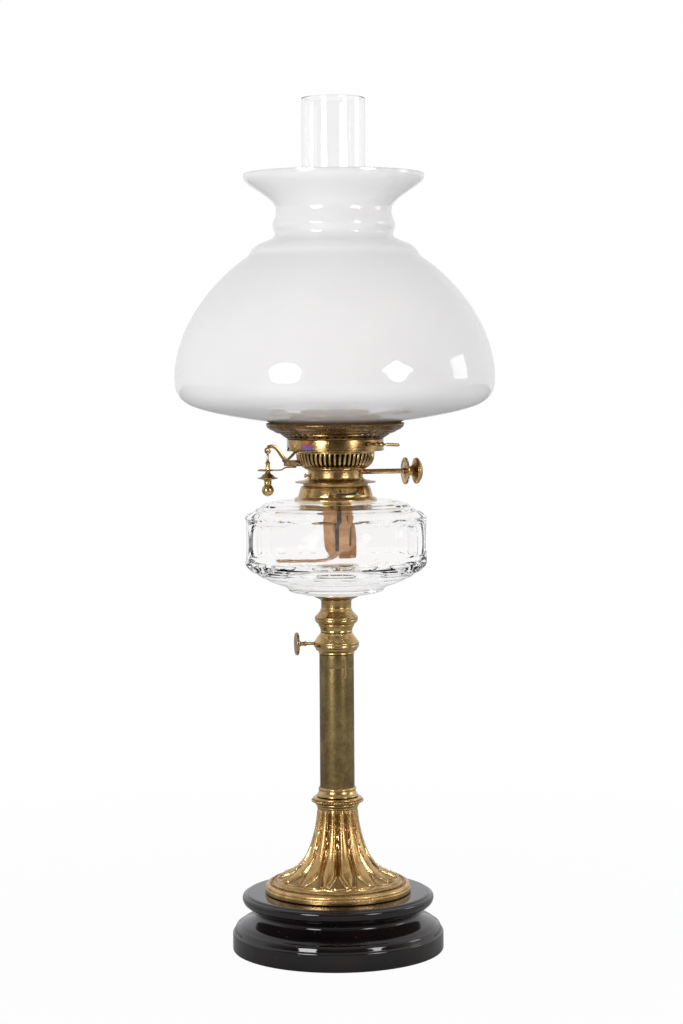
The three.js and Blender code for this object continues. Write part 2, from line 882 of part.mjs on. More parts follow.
// Stem: the sliding tube and everything that it lifts.
const stem = new THREE.Group();
stem.position.z = clamp.position.z + clampHeight + seatGap;
lamp.add(stem);
const innerTubeTop = knopSocketDepth - seatGap;
const innerTubeLength = stem.position.z + innerTubeTop - column.position.z + innerTubeOverlap;
const innerTube = ring(innerTubeRadius - innerTubeWall, innerTubeRadius, innerTubeLength, middleSides);
add('inner_tube', innerTube.translate(0, 0, innerTubeTop - innerTubeLength), finishes.columnBrass, stem);
const socketRadius = innerTubeRadius + seatGap;
const pegHoleRadius = pegRadius + seatGap;
add('fount_knop', turned([
  [socketRadius, 0],
  ...between(knopShares, socketRadius, knopRadius, 0, knopHeight),
  [pegHoleRadius, knopHeight],
  [pegHoleRadius, knopSocketDepth],
  [socketRadius, knopSocketDepth],
], middleSides), finishes.columnBrass, stem);
const dishBottom = knopHeight + seatGap;
const dishTop = dishBottom + dishHeight;
add('fount_dish', turned([
  [pegHoleRadius, dishBottom],
  ...between(dishShares, pegHoleRadius, dishRadius, dishBottom, dishTop),
  [pegHoleRadius, dishTop],
], middleSides), finishes.columnBrass, stem);
const fountBottom = dishTop + seatGap;
const pegBottom = innerTubeTop + seatGap;
add('fount_peg', turned([
  [0, pegBottom],
  [pegRadius, pegBottom],
  [pegRadius, fountBottom],
  [pegFlangeRadius, fountBottom],
  [pegFlangeRadius, fountBottom + pegFlangeThickness],
  [0, fountBottom + pegFlangeThickness],
], smallSides), finishes.burnerBrass, stem);

// Fount: round tiers and shoulders, with flat panels cut on the widest part.
const fount = new THREE.Group();
fount.position.z = fountBottom;
stem.add(fount);
const panelAngle = (2 * Math.PI) / fountPanelCount;
const panelDistance = fountCornerRadius * Math.cos(panelAngle / 2);
const firstCorner = radians(fountCornerAngle) - Math.PI / 2;
const fountOutline = [
  [fountFootRadius, 0],
  ...between(fountShares, 0, fountRadius, 0, fountHeight).slice(1),
  [fountNeckRadius, fountHeight],
  [fountNeckRadius, fountHeight + fountNeckHeight],
];
const fountRings = fountOutline.map(([radius, height]) =>
  Array.from({ length: 2 * fountPanelCount }, (_, i) => {
    const reach = i % 2 ? Math.min(radius, panelDistance) : Math.min(radius, fountCornerRadius);
    const angle = firstCorner + (i * panelAngle) / 2;
    return [reach * Math.cos(angle), reach * Math.sin(angle), height];
  }));
const fountHollow = [
  [0, fountFloor],
  ...between(fountHollowShares, 0, fountRadius - fountWall, fountFloor, fountHeight - fountRoof),
  [fountNeckRadius - fountNeckWall, fountHeight],
  [fountNeckRadius - fountNeckWall, fountHeight + fountNeckHeight + overrun],
  [0, fountHeight + fountNeckHeight + overrun],
];
const pegRecess = bar(pegFlangeRadius + seatGap, pegFlangeThickness + seatGap + overrun, smallSides);
add('fount', cut(
  stacked(fountRings),
  turned(fountHollow, middleSides),
  pegRecess.translate(0, 0, -overrun),
), finishes.clearGlass, fount);

// Bayonet collar, cemented on the neck, with two slots and an eyelet boss.
const collar = new THREE.Group();
collar.position.z = fountHeight + seatGap;
fount.add(collar);
const plugBore = throatRadius + runningGap;
const collarLedge = fountNeckHeight + seatGap;
const slotBottom = collarHeight - slotRoof - slotHeight;
const slotLimit = collarFlangeRadius + overrun;
const slotTools = [0, 180].flatMap((turn) => {
  const [start, end] = [slotStartAngle + turn, slotEndAngle + turn];
  const entry = end - slotEntryAngle;
  return [
    sector(throatRadius, slotLimit, start, end, slotBottom, slotBottom + slotHeight),
    sector(throatRadius, slotLimit, entry, end, slotBottom, collarHeight + overrun),
  ];
});
const collarBody = turned([
  [fountNeckRadius + cementGap, 0],
  [collarFlangeRadius, 0],
  [collarFlangeRadius, collarFlangeThickness],
  ...between(collarShares, throatRadius, collarFlangeRadius, 0, collarHeight),
  [plugBore, collarHeight],
  [plugBore, collarLedge],
  [fountNeckRadius + cementGap, collarLedge],
], hoopSides);
const eyeletBase = THREE.MathUtils.lerp(throatRadius, collarFlangeRadius, collarShares[1][0]) - overrun;
const facing = (geometry, angle, height) => alongX(geometry)
  .rotateZ(radians(angle) - Math.PI / 2)
  .translate(0, 0, height);
const eyeletLength = overrun + eyeletDepth;
const eyelet = bar(eyeletRadius, eyeletLength, smallSides).translate(0, 0, eyeletBase);
const eyeletHole = bar(eyeletHoleRadius, eyeletLength, tinySides)
  .translate(0, 0, eyeletBase + eyeletLength - eyeletDepth / 2);
add('fount_collar', cut(
  join(collarBody, facing(eyelet, eyeletAngle, eyeletHeight)),
  facing(eyeletHole, eyeletAngle, eyeletHeight),
  ...slotTools,
), finishes.burnerBrass, collar);

// Burner: everything that twists out of the collar.
const burner = new THREE.Group();
burner.position.z = fountBottom + collar.position.z + collarHeight + seatGap;
burner.rotation.z = radians(burnerAngle);
stem.add(burner);

// Burner base: the plug with its lugs, a flange and the throat round the spindles.
const throatInner = throatRadius - throatWall;
const flangeTop = burnerStepHeight + burnerFlangeThickness;
const lugTop = slotBottom + slotHeight - runningGap - collarHeight - seatGap;
const lugs = [0, 180].map((turn) => block(
  [throatRadius - throatWall / 2, -lugWidth / 2, lugTop - lugHeight],
  [throatRadius + lugReach, lugWidth / 2, lugTop],
).rotateZ(radians(lugAngle - burnerAngle + turn) - Math.PI / 2));
const shaftHole = alongX(bar(outerShaftRadius + runningGap, throatRadius + overrun, smallSides))
  .translate(0, 0, spindleHeight);
add('burner_base', cut(join(turned([
  [throatInner, -plugDepth],
  [throatRadius, -plugDepth],
  [throatRadius, 0],
  [burnerStepRadius, 0],
  [burnerStepRadius, burnerStepHeight],
  [burnerFlangeRadius, burnerStepHeight],
  [burnerFlangeRadius, flangeTop],
  [throatRadius, flangeTop + burnerConeHeight],
  [throatRadius, throatHeight],
  [throatInner, throatHeight],
], hoopSides), ...lugs), shaftHole), finishes.burnerBrass, burner);
const burnerScrew = bar(burnerScrewRadius, burnerScrewLength, smallSides);
add('burner_screw', alongX(burnerScrew.translate(0, 0, throatRadius + seatGap))
  .rotateZ(Math.PI)
  .translate(0, 0, burnerScrewHeight), finishes.burnerBrass, burner);

// Wick tubes, the plate that holds them and a window in each for its spur wheel.
const wickOffsets = { front: -wickTubeOffset, rear: wickTubeOffset };
const tubeGap = 2 * seatGap;
const plateHoles = Object.values(wickOffsets).map((offset) => prism(
  slotShape(wickTubeWidth + tubeGap, wickTubeDepth + tubeGap),
  tubePlateHeight - overrun,
  tubePlateHeight + tubePlateThickness + overrun,
).translate(0, offset, 0));
const plate = bar(throatInner - seatGap, tubePlateThickness, middleSides);
add('tube_plate', cut(plate.translate(0, 0, tubePlateHeight), ...plateHoles), finishes.burnerBrass, burner);
const spurPlaces = { front: frontSpurPlace, rear: rearSpurPlace };
for (const [side, offset] of Object.entries(wickOffsets)) {
  const shape = slotShape(wickTubeWidth, wickTubeDepth);
  shape.holes.push(slotShape(wickTubeWidth - 2 * wickTubeWall, wickTubeDepth - 2 * wickTubeWall));
  const halfWindow = spurWidth / 2 + runningGap;
  const innerWall = offset - (Math.sign(offset) * wickTubeDepth) / 2;
  const tube = prism(shape, wickTubeBottom, wickTubeTop).translate(0, offset, 0);
  const window = block(
    [spurPlaces[side] - halfWindow, innerWall - 2 * wickTubeWall, spindleHeight - wickWindowHeight / 2],
    [spurPlaces[side] + halfWindow, innerWall + 2 * wickTubeWall, spindleHeight + wickWindowHeight / 2],
  );
  add(`${side}_wick_tube`, cut(tube, window), finishes.burnerBrass, burner);
}

// Wicks: straight in their tubes, then hanging in the oil with their tails drawn in.
const wickTop = wickTubeTop + wickShow;
const wickHang = burner.position.z + wickTubeBottom - fountBottom - fountFloor - wickBedGap;
const wicks = {
  front: { shares: frontWickShares, tail: -frontWickTail },
  rear: { shares: rearWickShares, tail: rearWickTail },
};
for (const [side, { shares, tail }] of Object.entries(wicks)) {
  const offset = wickOffsets[side];
  const stations = shares.map(([run, out, drop, width, turns]) => ({
    at: [run * tail, out * offset, wickTubeBottom - drop * wickHang],
    turn: (turns * Math.PI) / 2,
    width: width * wickWidth,
  }));
  const wick = ribbon([0, offset, wickTop], stations, wickThickness, wickSteps);
  add(`${side}_wick`, wick, finishes.cotton, burner);
}

// Air basket: a fluted bowl with slots, notched for the extinguisher's arm.
const basketOutline = between(basketShares, basketBottomRadius, basketRadius, basketBottom, basketTop);
const notch = block(
  [-bandRadius - overrun, -notchWidth / 2, basketTop - 2 * bandLip],
  [-basketBottomRadius, notchWidth / 2, bandBottom + bandLip + overrun],
);
const openBand = 1;
add('air_basket', cut(
  pierced(basketOutline, basketWall, basketSlotCount, openBand, basketSlotShare),
  notch,
), finishes.burnerBrass, burner);

// Band: a plain hoop with a lip at its lower edge that lies on the basket's rim.
const lever = new THREE.Group();
lever.position.z = leverHeight;
lever.rotation.z = radians(leverAngle - burnerAngle);
const bandTop = bandBottom + bandHeight;
const leverHole = alongX(bar(leverRadius + runningGap, bandRadius + overrun, smallSides))
  .rotateZ(lever.rotation.z)
  .translate(0, 0, leverHeight);
add('burner_band', cut(turned([
  [basketRadius - basketWall, bandBottom],
  [bandRadius, bandBottom],
  [bandRadius, bandTop],
  [bandRadius - bandWall, bandTop],
  [bandRadius - bandWall, bandBottom + bandLip],
  [basketRadius - basketWall, bandBottom + bandLip],
], hoopSides), notch, leverHole), finishes.burnerBrass, burner);

// Winders: a hollow shaft for the front wick and, inside it, a shaft for the rear wick.
const spindle = new THREE.Group();
spindle.position.z = spindleHeight;
burner.add(spindle);

// A spur wheel with a bore, centred at a place along the spindle.
function spurWheel(bore, place) {
  const teeth = Array.from({ length: 2 * spurToothCount }, (_, i) => {
    const radius = i % 2 ? spurRadius : spurRadius * spurRootShare;
    const angle = (i / spurToothCount) * Math.PI;
    return new THREE.Vector2(radius * Math.cos(angle), radius * Math.sin(angle));
  });
  const wheel = prism(new THREE.Shape(teeth), 0, spurWidth);
  const hole = bar(bore, spurWidth + 2 * overrun, smallSides).translate(0, 0, -overrun);
  return alongX(cut(wheel, hole)).translate(place - spurWidth / 2, 0, 0);
}

const frontShaftStart = frontSpurPlace - spurWidth / 2 - runningGap;
const frontShaftBore = innerShaftRadius + runningGap;
const discBore = outerShaftRadius + seatGap;
const frontShaftEnd = frontDiscPlace + frontDiscThickness;
const frontShaft = ring(frontShaftBore, outerShaftRadius, frontShaftEnd - frontShaftStart, smallSides);
add('front_winder_tube', alongX(frontShaft).translate(frontShaftStart, 0, 0), finishes.burnerBrass, spindle);
const frontDisc = ring(discBore, frontDiscRadius, frontDiscThickness, middleSides);
add('front_winder_disc', alongX(frontDisc).translate(frontDiscPlace, 0, 0), finishes.burnerBrass, spindle);
add('front_spur_wheel', spurWheel(discBore, frontSpurPlace), finishes.burnerBrass, spindle);
const hubStart = frontShaftEnd + runningGap;
const knobStart = hubStart + rearKnobHubLength;
const knobEnd = knobStart + rearKnobThickness;
const rearBore = innerShaftRadius + seatGap;
const rearShaftStart = rearSpurPlace - spurWidth;
const rearShaftEnd = knobStart + rearKnobThickness / 2;
const rearShaft = bar(innerShaftRadius, rearShaftEnd - rearShaftStart, smallSides);
add('rear_winder_shaft', alongX(rearShaft).translate(rearShaftStart, 0, 0), finishes.burnerBrass, spindle);
add('rear_winder_knob', alongX(turned([
  [rearBore, hubStart],
  [rearKnobHubRadius, hubStart],
  [rearKnobHubRadius, knobStart],
  ...between(rearKnobShares, 0, rearKnobRadius, knobStart, knobEnd),
  [0, rearShaftEnd + seatGap],
  [rearBore, rearShaftEnd + seatGap],
], middleSides)), finishes.burnerBrass, spindle);
add('rear_spur_wheel', spurWheel(rearBore, rearSpurPlace), finishes.burnerBrass, spindle);

// Extinguisher: a bracket on the basket, its pin, an arm, a hanging pull and a pair of sleeves.
const pinBore = pinRadius + seatGap;
const pivotDisc = (radius, depth) => alongY(bar(radius, depth, smallSides))
  .translate(-pivotPlace, -depth / 2, pivotHeight);
const slitWidth = armDepth + 2 * runningGap;
const bracketOuter = slitWidth + 2 * cheekThickness;
const bracketInnerPlace = basketBottomRadius;
const bracketBottom = pivotHeight - bracketDepth;
const bracketBlock = block(
  [-pivotPlace, -bracketOuter / 2, bracketBottom],
  [-bracketInnerPlace, bracketOuter / 2, pivotHeight],
);
const slit = block(
  [-pivotPlace - bracketLength, -slitWidth / 2, bracketBottom + cheekThickness],
  [-pivotPlace + bracketLength, slitWidth / 2, pivotHeight + bracketDepth],
);
const basketCore = turned([
  [0, basketBottom],
  ...inset(basketOutline, -seatGap),
  [0, basketTop],
], hoopSides);
add('extinguisher_bracket', cut(
  join(bracketBlock, pivotDisc(armBossRadius, bracketOuter)),
  slit,
  pivotDisc(pinBore, bracketOuter + 2 * overrun),
  basketCore,
), finishes.burnerBrass, burner);
add('extinguisher_pin', pivotDisc(pinRadius, bracketOuter + cheekThickness), finishes.burnerBrass, burner);

const armOuter = strap([
  [-pivotPlace, pivotHeight],
  [-pivotPlace - 2 * armWidth, (pivotHeight + armArchHeight) / 2],
  [-(pivotPlace + eyePlace) / 2, armArchHeight - armWidth],
  [-eyePlace + armWidth, armArchHeight - armWidth / 2],
  [-eyePlace, eyeHeight + eyeHoleRadius + armWidth / 2],
], armWidth, armDepth, strapSteps);
const armElbow = armElbowShare * armWidth;
const armInner = strap([
  [-pivotPlace, pivotHeight],
  [-pivotPlace + armElbow, pivotHeight + armWidth / 2],
  [-basketRadius - armElbow, (pivotHeight + armTipHeight) / 2],
  [-basketRadius, armTipHeight - armWidth / 2],
  [-basketRadius + armWidth, armTipHeight],
  [-armTipPlace, armTipHeight],
], armWidth, armDepth, strapSteps);
const eyeDisc = (radius, depth) => alongY(bar(radius, depth, smallSides))
  .translate(-eyePlace, -depth / 2, eyeHeight);
add('extinguisher_arm', cut(
  join(armOuter, armInner, pivotDisc(armBossRadius, armDepth), eyeDisc(eyeRadius, armDepth)),
  pivotDisc(pinRadius + runningGap, armDepth + 2 * overrun),
  eyeDisc(eyeHoleRadius, armDepth + 2 * overrun),
), finishes.burnerBrass, burner);

const pullTop = eyeHeight - 2 * pullRingRadius + pullWireRadius;
const pullBody = turned(between(pullShares, 0, pullSaucerRadius, pullTop - pullLength, pullTop), smallSides);
const pullRing = new THREE.TorusGeometry(pullRingRadius, pullWireRadius, tinySides, smallSides)
  .rotateY(Math.PI / 2)
  .translate(0, 0, eyeHeight - pullRingRadius);
add('extinguisher_pull', join(pullBody, pullRing).translate(-eyePlace, 0, 0), finishes.burnerBrass, burner);

const loopPoints = Array.from({ length: smallSides }, (_, i) => {
  const angle = (i / (smallSides - 1)) * loopShare * 2 * Math.PI;
  const [along, side] = [guideLoopRadius * Math.cos(angle), guideLoopRadius * Math.sin(angle)];
  return [-guideLoopPlace + along, side, guideHeight];
});
const guideStart = bracketBottom - seatGap - guideWireRadius;
add('pull_guide', wire([
  [-bracketInnerPlace - bracketDepth, 0, guideStart],
  [-pivotPlace + bracketDepth, 0, guideStart],
  [-pivotPlace, 0, guideStart],
  [(-pivotPlace - guideLoopPlace + guideLoopRadius) / 2, 0, (guideStart + guideHeight) / 2],
  ...loopPoints,
], guideWireRadius, tinySides, wireSteps), finishes.burnerBrass, burner);

const sleeveEnd = wickTubeWidth / 2 + runningGap + sleeveWall;
const tabBottom = armTipHeight + armWidth / 2 + sleeveTabGap;
const sleeveTop = sleeveBottom + sleeveHeight;
const sleeves = Object.values(wickOffsets).map((offset) => {
  const gap = 2 * runningGap;
  const wall = 2 * sleeveWall;
  const outer = slotShape(wickTubeWidth + gap + wall, wickTubeDepth + gap + wall);
  const inner = slotShape(wickTubeWidth + gap, wickTubeDepth + gap);
  return {
    outer: prism(outer, sleeveBottom, sleeveTop).translate(0, offset, 0),
    inner: prism(inner, sleeveBottom - overrun, sleeveTop + overrun).translate(0, offset, 0),
  };
});
const sleeveBridge = block(
  [-sleeveEnd - sleeveTabThickness, -wickTubeOffset, sleeveBottom],
  [-sleeveEnd + wickTubeDepth, wickTubeOffset, tabBottom + sleeveTabThickness],
);
const sleeveTab = block(
  [-sleeveTabReach, -armDepth / 2, tabBottom],
  [-sleeveEnd, armDepth / 2, tabBottom + sleeveTabThickness],
);
add('extinguisher_sleeves', cut(
  join(sleeveBridge, sleeveTab, ...sleeves.map(({ outer }) => outer)),
  ...sleeves.map(({ inner }) => inner),
), finishes.burnerBrass, burner);

// Lever: a spindle through the band with collars outside and a cam inside.
burner.add(lever);
const leverEnd = bandRadius + leverReach;
const camPlace = Math.sqrt((bandRadius - bandWall - runningGap) ** 2 - camLength ** 2) - camWidth;
const leverCollars = leverCollarShares.map((share) => {
  const collarStart = bandRadius + runningGap + share * leverReach;
  return bar(leverCollarRadius, leverCollarThickness, smallSides).translate(0, 0, collarStart);
});
const leverBar = bar(leverRadius, leverEnd - camPlace, smallSides).translate(0, 0, camPlace);
const cam = block(
  [camPlace, -leverRadius, -camThickness / 2],
  [camPlace + camWidth, camLength, camThickness / 2],
);
add('lift_lever', join(alongX(join(leverBar, ...leverCollars)), cam), finishes.burnerBrass, lever);

// Gallery: a pierced skirt, a dish with a raised rim, a slotted dome and four springs.
const gallery = new THREE.Group();
gallery.position.z = bandTop + runningGap;
burner.add(gallery);
const skirtOutline = between(skirtShares, bandRadius, skirtTopRadius, 0, skirtHeight);
const skirtFlange = ring(skirtFlangeInnerRadius, bandRadius - skirtWall / 2, skirtWall, hoopSides);
add('gallery_skirt', join(
  pierced(skirtOutline, skirtWall, skirtHoleCount, openBand, skirtHoleShare),
  skirtFlange,
), finishes.burnerBrass, gallery);

const dishFloor = skirtHeight + seatGap;
const rimRadius = shadeFitterRadius + galleryRimOutset;
const galleryOuter = [
  [skirtTopRadius, dishFloor],
  ...between(galleryRimShares, skirtTopRadius, rimRadius, dishFloor, dishFloor + galleryRimHeight),
];
const galleryInner = inset(galleryOuter, galleryWall);
const dishFloorTop = dishFloor + galleryWall;
add('gallery_dish', turned([
  [galleryHoleRadius, dishFloor],
  ...galleryOuter,
  ...galleryInner.slice(1).reverse(),
  [skirtTopRadius, dishFloorTop],
  [galleryHoleRadius, dishFloorTop],
], wideSides), finishes.burnerBrass, gallery);

const domeBottom = dishFloorTop + seatGap;
const domeTop = domeBottom + domeHeight;
const domeFlangeTop = domeBottom + domeWall;
const domeCurve = (radius, top) => {
  const dome = new THREE.EllipseCurve(0, domeFlangeTop, radius, top - domeFlangeTop, 0, Math.PI / 2);
  return dome.getPoints(domeSteps).map((point) => [point.x, point.y]);
};
const domeShell = turned([
  [domeRadius - domeWall, domeBottom],
  [domeFlangeRadius, domeBottom],
  [domeFlangeRadius, domeFlangeTop],
  ...domeCurve(domeRadius, domeTop),
  ...domeCurve(domeRadius - domeWall, domeTop - domeWall).reverse(),
], middleSides);
const domeSlots = Object.values(wickOffsets).map((offset) => block(
  [-domeSlotWidth / 2, offset - domeSlotDepth / 2, domeFlangeTop],
  [domeSlotWidth / 2, offset + domeSlotDepth / 2, domeTop + overrun],
));
add('flame_dome', cut(domeShell, ...domeSlots), finishes.burnerBrass, gallery);

const springPlace = chimneyFootRadius + runningGap + springThickness / 2;
for (let i = 0; i < springCount; i += 1) {
  const spring = strap([
    [springPlace + springFoot, domeBottom + springThickness / 2],
    [springPlace + springFoot / 2, domeBottom + springThickness / 2],
    [springPlace + springThickness, domeBottom + 2 * springThickness],
    ...springGripShares.map((share) => [springPlace, domeBottom + share * springHeight]),
    [springPlace + 2 * springThickness, domeBottom + springHeight],
  ], springThickness, springWidth, strapSteps);
  const turn = ((i + 0.5) / springCount) * 2 * Math.PI;
  add(`chimney_spring_${i + 1}`, spring.rotateZ(turn), finishes.burnerBrass, gallery);
}

// Chimney: a straight foot, a bulge and a long straight top.
const chimneyOuter = [
  [chimneyFootRadius, 0],
  ...smooth([
    [chimneyFootRadius, chimneyFootHeight],
    [chimneyBulgeRadius, chimneyBulgeHeight],
    [(chimneyBulgeRadius + chimneyTopRadius) / 2, (chimneyBulgeHeight + chimneyShoulderHeight) / 2],
    [chimneyTopRadius, chimneyShoulderHeight],
  ], chimneySteps),
  [chimneyTopRadius, chimneyHeight],
];
add('chimney', turned([
  ...chimneyOuter,
  ...inset(chimneyOuter, chimneyWall).reverse(),
], middleSides).translate(0, 0, domeBottom), finishes.clearGlass, gallery);

// Shade: a fitter foot in the gallery's rim, a wide body, a stepped neck and a flared mouth.
const shadeSeat = heightAt(galleryInner, shadeFitterRadius) + runningGap;
const shadeBody = between(shadeBodyShares, shadeNeckRadius, shadeRadius, 0, shadeHeight);
const shadeStep = between(shadeStepShares, shadeNeckRadius, shadeRadius, 0, shadeHeight);
const shadeFlare = between(shadeFlareShares, shadeNeckRadius, shadeMouthRadius, 0, shadeHeight);
const shadeOutline = (bodySteps) => [
  [shadeFitterRadius, 0],
  [shadeFitterRadius, shadeFitterShare * shadeHeight],
  ...smooth(shadeBody, bodySteps),
  ...shadeStep,
  ...smooth(shadeFlare, shadeFlareSteps),
];
add('shade', turned([
  ...shadeOutline(shadeBodySteps),
  ...inset(shadeOutline(shadeInnerSteps), shadeWall).reverse(),
], wideSides).translate(0, 0, shadeSeat), finishes.opal, gallery);

export default lamp;
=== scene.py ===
"""Kerosene table lamp with a telescopic column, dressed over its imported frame.

Outlines and places are in millimetres, as [radius, height] or (x, y, z), and become metres when a
mesh is made. +Z is up, the lamp stands on z = 0 with its axis on the Z axis, and its front looks
along -Y.
"""
import itertools
import logging
import math
import random
from collections.abc import Callable, Iterable, Sequence
from dataclasses import dataclass, field
from enum import Enum

import bmesh
import bpy
from mathutils import Matrix, Vector


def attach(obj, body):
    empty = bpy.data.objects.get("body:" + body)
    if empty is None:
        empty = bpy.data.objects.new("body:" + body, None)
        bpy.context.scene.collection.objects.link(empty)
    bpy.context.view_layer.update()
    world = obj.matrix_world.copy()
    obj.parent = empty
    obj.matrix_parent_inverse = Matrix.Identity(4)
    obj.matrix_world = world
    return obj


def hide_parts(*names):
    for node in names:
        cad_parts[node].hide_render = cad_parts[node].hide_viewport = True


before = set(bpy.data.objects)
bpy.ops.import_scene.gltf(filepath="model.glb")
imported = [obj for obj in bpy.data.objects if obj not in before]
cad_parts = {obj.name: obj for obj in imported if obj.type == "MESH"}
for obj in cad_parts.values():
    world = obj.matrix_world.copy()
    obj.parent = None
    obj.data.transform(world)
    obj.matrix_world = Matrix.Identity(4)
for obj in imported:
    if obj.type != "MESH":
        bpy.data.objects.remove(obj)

LOG = logging.getLogger("lamp")
MM = 0.001
TURN = 2 * math.pi
FRONT = -TURN / 4  # direction of the lamp's front, from +X
WELD = 1e-6  # metres; corners nearer than this are one corner
CREASE = math.radians(38)  # a sharper edge than this is shaded as an edge

Outline = list[tuple[float, float]]
Colour = tuple[float, float, float, float]
Mesh = tuple[list[Vector], list[tuple[int, ...]]]
Inputs = dict[str | int, object]  # of a node, by name or number
Piece, Node, Socket, Tree = bpy.types.Object, bpy.types.Node, bpy.types.NodeSocket, bpy.types.NodeTree


def place_at(x: float, y: float, z: float, turn: float = 0.0, axis: str = "Z") -> Matrix:
    """A place in millimetres, turned by degrees round one of its axes."""
    return Matrix.Translation((x, y, z)) @ Matrix.Rotation(math.radians(turn), 4, axis)


ALONG_X = Matrix.Rotation(TURN / 4, 4, "Y")  # lays an upright axis along +X
BURNER_PLACE = place_at(0, 0, 355.6, 15)
SPINDLE_PLACE = BURNER_PLACE @ place_at(0, 0, 10.4) @ ALONG_X
GALLERY_PLACE = place_at(0, 0, 391.9)


class Slot(Enum):
    """Material slots."""

    GLAZE = "glazed_pottery"
    CAST = "cast_brass"
    COLUMN = "column_brass"
    BURNER = "burner_brass"
    STEEL = "steel"
    CLEAR = "clear_glass"
    OPAL = "opal_glass"
    COTTON = "cotton"


class Body(Enum):
    """Moving groups that a piece can ride on."""

    BASE = "base"
    THUMBSCREW = "thumbscrew"
    STEM = "stem"
    BURNER = "burner"
    FRONT_WINDER = "front_winder"
    REAR_WINDER = "rear_winder"
    FRONT_WICK = "front_wick"
    REAR_WICK = "rear_wick"
    ARM = "extinguisher_arm"
    PULL = "extinguisher_pull"
    LEVER = "lift_lever"
    GALLERY = "gallery"
    CHIMNEY = "chimney"
    SHADE = "shade"


# Outlines


def corners(points: Sequence[tuple[float, ...]], radius: float = 0.3, steps: int = 3) -> Outline:
    """Rounds the inner corners of a line.

    Args:
        points: [radius, height] pairs; a third value is that corner's own rounding.
        radius: rounding of the other corners.
        steps: stretches in each rounded corner.

    Returns:
        The line with its corners rounded.
    """
    line: Outline = [(points[0][0], points[0][1])]
    for before, here, after in zip(points, points[1:], points[2:]):
        corner = Vector(here[:2])
        back, ahead = Vector(before[:2]) - corner, Vector(after[:2]) - corner
        own = here[2] if len(here) > 2 else radius
        reach = min(own, 0.48 * back.length, 0.48 * ahead.length)
        if reach < 0.02:
            line.append((corner.x, corner.y))
            continue
        start, end = corner + back.normalized() * reach, corner + ahead.normalized() * reach
        for i in range(steps + 1):
            t = i / steps
            p = start * (1 - t) ** 2 + corner * 2 * t * (1 - t) + end * t**2
            line.append((p.x, p.y))
    line.append((points[-1][0], points[-1][1]))
    return line


def rounded(points: Sequence[tuple[float, ...]], radius: float) -> Outline:
    """A dataclass field that starts as corners() of these points."""
    return field(default_factory=lambda: corners(points, radius))


def smooth(points: Sequence[Sequence[float]], steps: int = 6) -> list[tuple[float, ...]]:
    """Runs a Catmull-Rom curve through points of any dimension.

    Args:
        points: the points.
        steps: stretches between two of them.

    Returns:
        Points along the curve.
    """
    ends = [Vector(points[0]), *map(Vector, points), Vector(points[-1])]
    line = []
    for a, b, c, d in zip(ends, ends[1:], ends[2:], ends[3:]):
        for i in range(steps):
            t = i / steps
            p = b + (c - a) * 0.5 * t + (a * 2 - b * 5 + c * 4 - d) * 0.5 * t**2
            line.append(tuple(p + (b * 3 - a - c * 3 + d) * 0.5 * t**3))
    return [*line, tuple(points[-1])]


def inset(line: Outline, distance: float) -> Outline:
    """Moves an upward line sideways, to its left, which is inwards.

    Args:
        line: the line.
        distance: how far it moves.

    Returns:
        The moved line.
    """
    moved = []
    for i, (r, z) in enumerate(line):
        before, after = line[max(i - 1, 0)], line[min(i + 1, len(line) - 1)]
        along = Vector((after[0] - before[0], after[1] - before[1])).normalized()
        moved.append((r - along.y * distance, z + along.x * distance))
    return moved


def shell(line: Outline, wall: float, steps: int = 4) -> Outline:
    """Closes an upward line with a wall of even thickness inside it and round rims.

    Args:
        line: the outer line, from its foot to its rim.
        wall: thickness.
        steps: stretches in each rim.

    Returns:
        A closed outline.
    """
    inner = inset(line, wall)[::-1]
    bulge = 0.35 * wall

    def rim(a: tuple[float, float], b: tuple[float, float], out: Vector) -> Outline:
        """Half an ellipse from a to b that bulges along out."""
        centre, half = (Vector(a) + Vector(b)) / 2, (Vector(b) - Vector(a)) / 2
        arc = [math.pi * i / steps for i in range(1, steps)]
        return [tuple(centre - half * math.cos(t) + out * math.sin(t)) for t in arc]

    up = (Vector(line[-1]) - Vector(line[-2])).normalized() * bulge
    down = (Vector(line[0]) - Vector(line[1])).normalized() * bulge
    top, inner_top = ((Vector(p) - up).to_tuple() for p in (line[-1], inner[0]))
    foot, inner_foot = ((Vector(p) - down).to_tuple() for p in (line[0], inner[-1]))
    outside = [foot, *line[1:-1], top, *rim(top, inner_top, up)]
    return [*outside, inner_top, *inner[1:-1], inner_foot, *rim(inner_foot, foot, down)]


def ridges(radius: float, depth: float, start: float, end: float, count: int) -> Outline:
    """A row of rounded ridges along a rod, such as a thread or milled rings.

    Args:
        radius: of the ridges' tops.
        depth: of the grooves.
        start: height of the first groove.
        end: height of the last groove.
        count: number of ridges.

    Returns:
        The outline's stretch with the ridges.
    """
    steps = count * 4
    return [
        (radius - depth * (0.5 + 0.5 * math.cos(TURN * i / 4)), start + (end - start) * i / steps)
        for i in range(steps + 1)
    ]


# Meshes


def polar(radius: float, angle: float, height: float) -> Vector:
    """A point from its radius, its angle from +X and its height."""
    return Vector((radius * math.cos(angle), radius * math.sin(angle), height))


def add_object(name: str, data: bpy.types.ID) -> Piece:
    """Makes an object of this data in the scene."""
    made = bpy.data.objects.new(name, data)
    bpy.context.scene.collection.objects.link(made)
    return made


